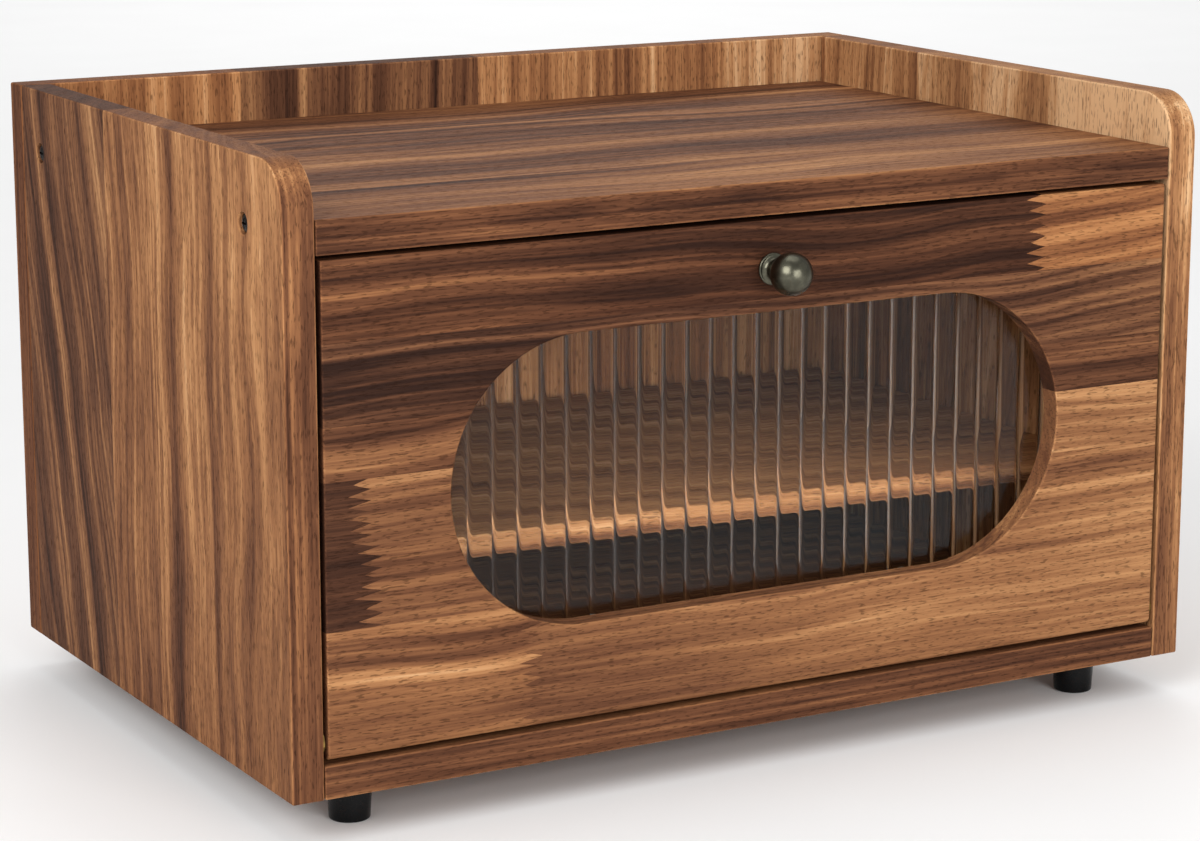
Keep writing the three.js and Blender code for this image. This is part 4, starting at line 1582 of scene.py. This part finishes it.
@dataclass
class Glazing:
    """The reeded pane and the clips that hold it in the rebate.

    pitch: width of one reed.
    rise: height of a reed above the valleys between reeds.
    fullness: how flat a reed's crown is.
    facets: strips that make up one reed.
    weld: how near to each other the strips' points are joined.
    clip_hole: radius of a clip's screw hole.
    screw_place: screw axis beyond a clip's middle.
    clip_arris: rounding of the clips' edges.
    """

    pitch: float = 10.3 * MM
    rise: float = 1.0 * MM
    fullness: float = 9.0
    facets: int = 24
    weld: float = 0.01 * MM
    clip_hole: float = 1.6 * MM
    screw_place: float = 5.5 * MM
    clip_arris: float = 0.25 * MM

    def pane(self) -> None:
        """Builds the pane with Geometry Nodes: reeds side by side, cut to the stadium."""
        extent = Extent.of("window_pane")
        length, thickness, height = extent.size
        reeds = 2 * math.ceil(length / self.pitch / 2)
        tree = ShapeTree("Reeded pane", {
            "Length": length, "Height": height, "Thickness": thickness, "Pitch": self.pitch,
            "Rise": self.rise, "Fullness": self.fullness, "Reeds": reeds,
            "Facets": self.facets})
        given = tree.given
        pitch = given["Pitch"]
        tall = tree.math("ADD", given["Height"], 2 * HOLE_RUNOUT)
        strip = tree.add("GeometryNodeMeshGrid", {
            "Size X": pitch, "Size Y": tall,
            "Vertices X": tree.math("ADD", given["Facets"], 1.0), "Vertices Y": 2}).outputs[0]
        start = tree.math("MULTIPLY", tree.math("SUBTRACT", 1.0, given["Reeds"]),
                          tree.math("MULTIPLY", pitch, 0.5))
        row = tree.add("GeometryNodeMeshLine", {
            "Count": given["Reeds"], "Start Location": tree.combine(start, 0.0, 0.0),
            "Offset": tree.combine(pitch, 0.0, 0.0)}).outputs[0]
        copies = tree.add("GeometryNodeInstanceOnPoints", {"Points": row, "Instance": strip})
        real = tree.add("GeometryNodeRealizeInstances", {0: copies.outputs[0]}).outputs[0]
        sheet = tree.add("GeometryNodeMergeByDistance", {0: real, "Distance": self.weld}).outputs[0]
        slab = tree.thickened(sheet, given["Thickness"])

        x, y, z = tree.positions()
        across = tree.math("FRACT", tree.math("DIVIDE", x, pitch))
        from_crown = tree.math("ABSOLUTE", tree.math("MULTIPLY_ADD", across, 2.0, -1.0))
        fall = tree.math("MULTIPLY", tree.math("POWER", from_crown, given["Fullness"]),
                         given["Rise"])
        front = tree.math("GREATER_THAN", z, tree.math("MULTIPLY", given["Thickness"], 0.5))
        lowered = tree.combine(x, y, tree.math("SUBTRACT", z, fall))
        reeded = tree.reshaped(slab, lowered, front)

        deep = tree.math("ADD", given["Thickness"], 2 * HOLE_RUNOUT)
        disc = tree.rounded_plate(given["Length"], given["Height"],
                                  tree.math("MULTIPLY", given["Height"], 0.5), deep)
        pane = tree.combined("INTERSECT", reeded, tree.moved(disc, z=-HOLE_RUNOUT))
        tree.finish(pane)
        seat = Vector((extent.centre.x, extent.high.y, extent.centre.z))
        piece = tree.grow("pane", [(seat, -Axis.Y.unit)], ReededAcrylic().material())
        enlist(piece, Body.DOOR, Slot.ACRYLIC, "window_pane")

    def clips(self) -> None:
        """Builds the four clips with Geometry Nodes."""
        nodes = nodes_of("pane_clip")
        length, thickness, width = (Extent.of(nodes[0]).size[i] for i in (2, 1, 0))
        tree = ShapeTree("Pane clip", {"Length": length, "Width": width, "Thickness": thickness,
                                       "Hole": self.clip_hole, "Screw Place": self.screw_place})
        given = tree.given
        plate = tree.rounded_plate(given["Length"], given["Width"],
                                   tree.math("MULTIPLY", given["Width"], 0.5), given["Thickness"])
        bore = tree.cylinder(given["Hole"], -HOLE_RUNOUT,
                             tree.math("ADD", given["Thickness"], HOLE_RUNOUT))
        hole = tree.moved(bore, x=given["Screw Place"])
        pierced = tree.combined("DIFFERENCE", plate, hole)
        upright = tree.add("GeometryNodeTransform", {
            "Geometry": pierced, "Rotation": (-math.pi / 2, 0.0, 0.0)}).outputs[0]
        tree.finish(upright, "X", "Y")
        middle = Extent.of("window_pane").centre.z
        places = []
        for node in nodes:
            extent = Extent.of(node)
            outward = math.copysign(1.0, extent.centre.z - middle)
            seat = Vector((extent.centre.x, extent.low.y, extent.centre.z))
            places.append((seat, Axis.Z.unit * outward))
        clips = tree.grow("pane_clips", places, ZINC.material())
        soften(clips, self.clip_arris, 2)
        enlist(clips, Body.DOOR, Slot.STEEL, *nodes)

    def build(self) -> None:
        """Builds the pane and its clips."""
        self.pane()
        self.clips()


@dataclass
class Knob:
    """The ball knob on its flanged neck.

    flange, neck, bore: radii of the base flange, the neck and the screw's bore.
    bore_depth: how deep the bore goes.
    seat: gap between the flange and the door.
    rim: radius of the flange's rounded rim, and rim_height its middle above the seat.
    chamfer: how much smaller the flange is where it meets the door.
    cove: radius of the hollow between flange and neck, and cove_height its middle.
    throat: how much wider than the neck the ball is where they meet.
    steps: how many facets the ball has from neck to tip.
    """

    flange: float = 6.2 * MM
    neck: float = 3.7 * MM
    bore: float = 2.1 * MM
    bore_depth: float = 9 * MM
    seat: float = 0.3 * MM
    rim: float = 0.6 * MM
    rim_height: float = 0.75 * MM
    chamfer: float = 0.3 * MM
    cove: float = 2.3 * MM
    cove_height: float = 3.6 * MM
    throat: float = 0.2 * MM
    steps: int = 40

    def build(self) -> None:
        """Builds and dresses the knob."""
        extent = Extent.of("knob")
        door = Extent.of("door_panel")
        ball = extent.size.x / 2
        projection = door.low.y - extent.low.y
        centre = projection - ball
        start = math.asin((self.neck + self.throat) / ball)
        profile = [(0, self.bore_depth), (self.bore, self.bore_depth), (self.bore, self.seat),
                   (self.flange - self.chamfer, self.seat)]
        profile += arc((self.flange - self.rim, self.seat + self.rim_height), self.rim, -60, 80, 8)
        profile += arc((self.neck + self.cove, self.seat + self.cove_height), self.cove,
                       260, 180, 12)
        for step in range(self.steps + 1):
            angle = start + (math.pi - start) * step / self.steps
            radius = 0 if step == self.steps else ball * math.sin(angle)
            profile.append((radius, centre - ball * math.cos(angle)))
        foot = Vector((extent.centre.x, door.low.y, extent.centre.z))
        knob = turned("ball_knob", profile, foot, -Axis.Y.unit)
        shade(knob, 50)
        dress(knob, PEWTER.material())
        enlist(knob, Body.DOOR, Slot.PEWTER, "knob")


@dataclass
class Feet:
    """The four short tapered feet.

    lower: radius at the floor.
    recess, recess_depth: the pocket for the screw's head.
    screw_hole: radius of the hole above the pocket.
    arris: rounding of the edges.
    sides: how many facets a foot has round it.
    """

    lower: float = 7.75 * MM
    recess: float = 4.6 * MM
    recess_depth: float = 10 * MM
    screw_hole: float = 2.2 * MM
    arris: float = 0.7 * MM
    sides: int = 56

    def build(self) -> None:
        """Builds the feet with Geometry Nodes."""
        nodes = nodes_of("foot_front") + nodes_of("foot_rear")
        first = Extent.of(nodes[0])
        tree = ShapeTree("Tapered foot", {
            "Height": first.size.z, "Top Radius": first.size.x / 2, "Bottom Radius": self.lower,
            "Recess Radius": self.recess, "Recess Depth": self.recess_depth,
            "Hole Radius": self.screw_hole})
        given = tree.given
        post = tree.cylinder(given["Top Radius"], 0.0, given["Height"], self.sides)
        x, y, z = tree.positions()
        narrow = tree.math("DIVIDE", given["Bottom Radius"], given["Top Radius"])
        level = tree.math("DIVIDE", z, given["Height"])
        width = tree.math("MULTIPLY_ADD", level, tree.math("SUBTRACT", 1.0, narrow), narrow)
        tapered = tree.reshaped(post, tree.combine(tree.math("MULTIPLY", x, width),
                                                   tree.math("MULTIPLY", y, width), z))
        pocket = tree.cylinder(given["Recess Radius"], -HOLE_RUNOUT, given["Recess Depth"])
        hole = tree.cylinder(given["Hole Radius"], HOLE_RUNOUT,
                             tree.math("ADD", given["Height"], HOLE_RUNOUT))
        tree.finish(tree.combined("DIFFERENCE", tapered, pocket, hole))
        places = []
        for node in nodes:
            extent = Extent.of(node)
            seat = Vector((extent.centre.x, extent.centre.y, extent.low.z))
            places.append((seat, Axis.Z.unit))
        feet = tree.grow("feet", places, FOOT_BLACK.material())
        soften(feet, self.arris)
        enlist(feet, Body.CABINET, Slot.FOOT, *nodes)


@dataclass(frozen=True)
class ScrewSet:
    """Screws of one kind, all on one body.

    name: the piece's name.
    prefix: how their nodes' names start.
    body: the body that they are driven into.
    along: the axis that they lie on.
    head_height, shank: height of the head and radius of the shank.
    slot: the record's slot for their finish.
    crown, crown_drop: how flat the head's crown is, and its fall at the rim by head height.
    recess_reach, recess_width: the cross recess's size by the head's radius.
    """

    name: str
    prefix: str
    body: Body
    along: Axis
    head_height: float = 2.2 * MM
    shank: float = 1.8 * MM
    slot: Slot = Slot.STEEL
    crown: float = 2.6
    crown_drop: float = 0.45
    recess_reach: float = 1.15
    recess_width: float = 0.24

    def heading(self, extent: Extent) -> Vector:
        """Which way a screw's head points, judged from the box's middle.

        Args:
            extent: the screw's extent.

        Returns:
            A unit vector out of its head.
        """
        if self.along is Axis.X:
            return Axis.X.unit * math.copysign(1.0, extent.centre.x)
        return Axis.Y.unit if self.along is Axis.Y else -Axis.Z.unit

    def build(self, material: bpy.types.Material) -> None:
        """Builds the set with Geometry Nodes: crowned heads with a cross recess.

        Args:
            material: the screws' finish.
        """
        nodes = nodes_of(self.prefix)
        first = Extent.of(nodes[0])
        cross = [axis for axis in Axis if axis is not self.along]
        tree = ShapeTree(f"Screw {self.name}", {
            "Head Radius": max(first.size[axis.value] for axis in cross) / 2,
            "Head Height": self.head_height, "Shank Radius": self.shank,
            "Length": first.size[self.along.value]})
        given = tree.given
        radius, height = given["Head Radius"], given["Head Height"]
        head = tree.cylinder(radius, tree.math("MULTIPLY", height, -1.0), 0.0, 28)
        x, y, z = tree.positions()
        out = tree.math("DIVIDE", tree.vector("LENGTH", tree.combine(x, y, 0.0)), radius)
        crown = tree.math("MULTIPLY", tree.math("POWER", out, self.crown), height)
        upper = tree.math("GREATER_THAN", z, tree.math("MULTIPLY", height, -0.5))
        lowered = tree.combine(x, y, tree.math("MULTIPLY_ADD", crown, -self.crown_drop, z))
        domed = tree.reshaped(head, lowered, upper)
        reach = tree.math("MULTIPLY", radius, self.recess_reach)
        width = tree.math("MULTIPLY", radius, self.recess_width)
        arms = (tree.block(reach, width, height), tree.block(width, reach, height))
        stem = tree.cylinder(given["Shank Radius"], tree.math("MULTIPLY", given["Length"], -1.0),
                             tree.math("MULTIPLY", height, -0.7), 20)
        whole = tree.combined("UNION", tree.combined("DIFFERENCE", domed, *arms), stem)
        tree.finish(whole)
        places = []
        for node in nodes:
            extent = Extent.of(node)
            heading = self.heading(extent)
            half = extent.size[self.along.value] / 2
            places.append((extent.centre + heading * half, heading))
        screws = tree.grow(self.name, places, material)
        enlist(screws, self.body, self.slot, *nodes)


@dataclass
class Fasteners:
    """Every screw, and the dowels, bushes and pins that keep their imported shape.

    small_head, small_shank: head height and shank radius of the smallest screws.
    """

    small_head: float = 1.0 * MM
    small_shank: float = 1.2 * MM

    def screw_sets(self) -> list[ScrewSet]:
        """The kinds of screw in the box.

        Returns:
            One set for each kind.
        """
        small = {"head_height": self.small_head, "shank": self.small_shank}
        return [
            ScrewSet("side_screws", "top_board_screw", Body.CABINET, Axis.X,
                     slot=Slot.BLACK_STEEL),
            ScrewSet("back_screws", "back_screw", Body.CABINET, Axis.Y),
            ScrewSet("foot_screws", "foot_screw", Body.CABINET, Axis.Z),
            ScrewSet("catch_screws", "catch_screw", Body.CABINET, Axis.Z, **small),
            ScrewSet("clip_screws", "clip_screw", Body.DOOR, Axis.Y, **small),
            ScrewSet("strike_screws", "strike_screw", Body.DOOR, Axis.Y, **small),
            ScrewSet("knob_screws", "knob_screw", Body.DOOR, Axis.Y),
        ]

    def build(self) -> None:
        """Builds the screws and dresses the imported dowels, bushes and pivot pins."""
        zinc, black = ZINC.material(), BLACK_STEEL.material()
        for screws in self.screw_sets():
            screws.build(black if screws.slot is Slot.BLACK_STEEL else zinc)
        kept = {"dowel": PlainTimber().material(), "pivot_bush": BRASS.material(),
                "pivot_pin": zinc}
        for prefix, material in kept.items():
            for node in nodes_of(prefix):
                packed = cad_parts[node]
                dress(packed, material)
                LOG.info("%-22s keeps its packed shape", node)


@dataclass
class Catches:
    """The two magnet catches and the steel plates that they hold.

    head_depth: depth of a catch's magnet housing.
    tab: thickness of the tab that is screwed up to the top board.
    arris: rounding of the housing's edges.
    magnet_margin, magnet_sink: the magnet's frame and how far its face lies back.
    plate_corner, plate_arris: the strike plates' corner radius and edge rounding.
    """

    head_depth: float = 12 * MM
    tab: float = 2.5 * MM
    arris: float = 0.3 * MM
    magnet_margin: float = 2.2 * MM
    magnet_sink: float = 0.8 * MM
    plate_corner: float = 1.5 * MM
    plate_arris: float = 0.3 * MM

    def housing(self, side: str) -> None:
        """Builds one catch: a stepped housing with a sunken magnet face.

        Args:
            side: which side it is on, "left" or "right".
        """
        node = f"magnet_catch_{side}"
        extent = Extent.of(node)
        low, high = extent.low, extent.high
        step = low.y + self.head_depth
        under_tab = high.z - self.tab
        outline = [(low.y, low.z), (step, low.z), (step, under_tab), (high.y, under_tab),
                   (high.y, high.z), (low.y, high.z)]
        housing = prism(f"catch_{side}", outline, (Axis.Y, Axis.Z), Axis.X, (low.x, high.x))
        window = rectangle((low.x + self.magnet_margin, low.z + self.magnet_margin),
                           (high.x - self.magnet_margin, high.z - self.magnet_margin))
        sunk = prism("magnet", window, (Axis.X, Axis.Z), Axis.Y,
                     (low.y - HOLE_RUNOUT, low.y + self.magnet_sink))
        carve(housing, [sunk, *holes_in(extent, Hole.CATCH_SCREW)])
        soften(housing, self.arris, 2)
        dress(housing, CATCH_BLACK.material())
        enlist(housing, Body.CABINET, Slot.CATCH, node)

    def strike(self, side: str) -> None:
        """Builds one steel plate on the door's back.

        Args:
            side: which side it is on, "left" or "right".
        """
        node = f"strike_plate_{side}"
        extent = Extent.of(node)
        outline = rectangle(extent.low.xz, extent.high.xz, (self.plate_corner,) * 4, 6)
        plate = prism(f"strike_{side}", outline, (Axis.X, Axis.Z), Axis.Y,
                      (extent.low.y, extent.high.y))
        carve(plate, holes_in(extent, Hole.STRIKE_SCREW))
        soften(plate, self.plate_arris, 2)
        dress(plate, ZINC.material())
        enlist(plate, Body.DOOR, Slot.STEEL, node)

    def build(self) -> None:
        """Builds both catches and both plates."""
        for side in SIDES:
            self.housing(side)
            self.strike(side)


# ---- studio --------------------------------------------------------------------------------


@dataclass(frozen=True)
class SoftLight:
    """One square lamp.

    place: where it hangs.
    width: its side.
    power: its output in watts.
    aim: the point that it faces, or the box's middle if it has none.
    """

    name: str
    place: tuple[float, float, float]
    width: float
    power: float
    aim: tuple[float, float, float] | None = None

    def build(self, middle: Vector) -> None:
        """Hangs the lamp, turned to its aim.

        Args:
            middle: the middle of the box.
        """
        lamp = bpy.data.lights.new(self.name, "AREA")
        lamp.shape = "SQUARE"
        lamp.size = self.width
        lamp.energy = self.power
        holder = bpy.data.objects.new(self.name, lamp)
        holder.location = self.place
        target = Vector(self.aim) if self.aim else middle
        holder.rotation_euler = (target - Vector(self.place)).to_track_quat("-Z", "Y").to_euler()
        bpy.context.scene.collection.objects.link(holder)


@dataclass
class Studio:
    """A pale floor, soft lamps, and the camera at the object's three-quarter view.

    eye: where the camera stands.
    turn, dip: how far it looks to the right and down, in degrees.
    lens: its focal length in millimetres on a 36 mm sensor.
    floor_reach: half the floor's side.
    air: strength of the even light from all round.
    lamps: the lamps.
    """

    eye: tuple[float, float, float] = (-0.6776, -1.1960, 0.4169)
    turn: float = 29.38
    dip: float = 12.46
    lens: float = 102.86
    floor_reach: float = 12.0
    air: float = 0.52
    lamps: tuple[SoftLight, ...] = (
        SoftLight("key", (-1.6, -0.95, 1.15), 1.3, 28.0),
        SoftLight("front", (0.0, -2.4, 0.6), 1.3, 31.0),
        SoftLight("top", (0.3, 0.2, 2.4), 1.6, 12.0),
        SoftLight("backdrop", (1.5, 2.8, 1.9), 2.0, 26.0, (1.1, 2.1, 0.0)),
    )

    def floor(self) -> None:
        """Lays the floor, a pale matt sheet with a faint mottle."""
        reach = self.floor_reach
        corners = ((-reach, -reach), (reach, -reach), (reach, reach), (-reach, reach))
        mesh = bmesh.new()
        mesh.faces.new([mesh.verts.new((x, y, 0.0)) for x, y in corners])
        sheet = object_of("floor", mesh)
        graph = ShaderGraph("pale_floor")
        mottle = graph.noise(graph.place(), 9.0, 3.0)
        shader = graph.principled({
            "Base Color": graph.mix_colour(mottle, (0.90, 0.90, 0.90, 1.0), (0.93, 0.93, 0.93, 1)),
            "Roughness": graph.mix(mottle, 0.75, 0.85),
            "Specular IOR Level": 0.15,
        })
        dress(sheet, graph.close(shader.outputs[0]))

    def sky(self) -> None:
        """Fills the room with even light."""
        world = bpy.data.worlds.new("studio_air")
        world.use_nodes = True
        backdrop = world.node_tree.nodes["Background"]
        backdrop.inputs["Color"].default_value = (1.0, 1.0, 1.0, 1.0)
        backdrop.inputs["Strength"].default_value = self.air
        bpy.context.scene.world = world
        bpy.context.scene.view_settings.view_transform = "Standard"

    def camera(self) -> None:
        """Sets up the camera."""
        data = bpy.data.cameras.new("camera")
        data.lens = self.lens
        data.sensor_width = 36.0
        holder = bpy.data.objects.new("camera", data)
        holder.location = self.eye
        holder.rotation_euler = (math.radians(90 - self.dip), 0.0, math.radians(-self.turn))
        bpy.context.scene.collection.objects.link(holder)
        bpy.context.scene.camera = holder

    def build(self) -> None:
        """Builds the floor, the light and the camera."""
        self.floor()
        self.sky()
        self.camera()
        low, high = (Vector(corner) for corner in CAD_BOX)
        for lamp in self.lamps:
            lamp.build((low + high) / 2)


def main() -> None:
    """Builds the box from the carcass outwards, then the studio round it."""
    logging.basicConfig(level=logging.INFO, format="%(name)s: %(message)s")
    for assembly in (Carcass(), Shelf(), Door(), Glazing(), Knob(), Feet(), Fasteners(),
                     Catches(), Studio()):
        LOG.info("building %s", type(assembly).__name__.lower())
        assembly.build()


if __name__ == "__main__":
    main()
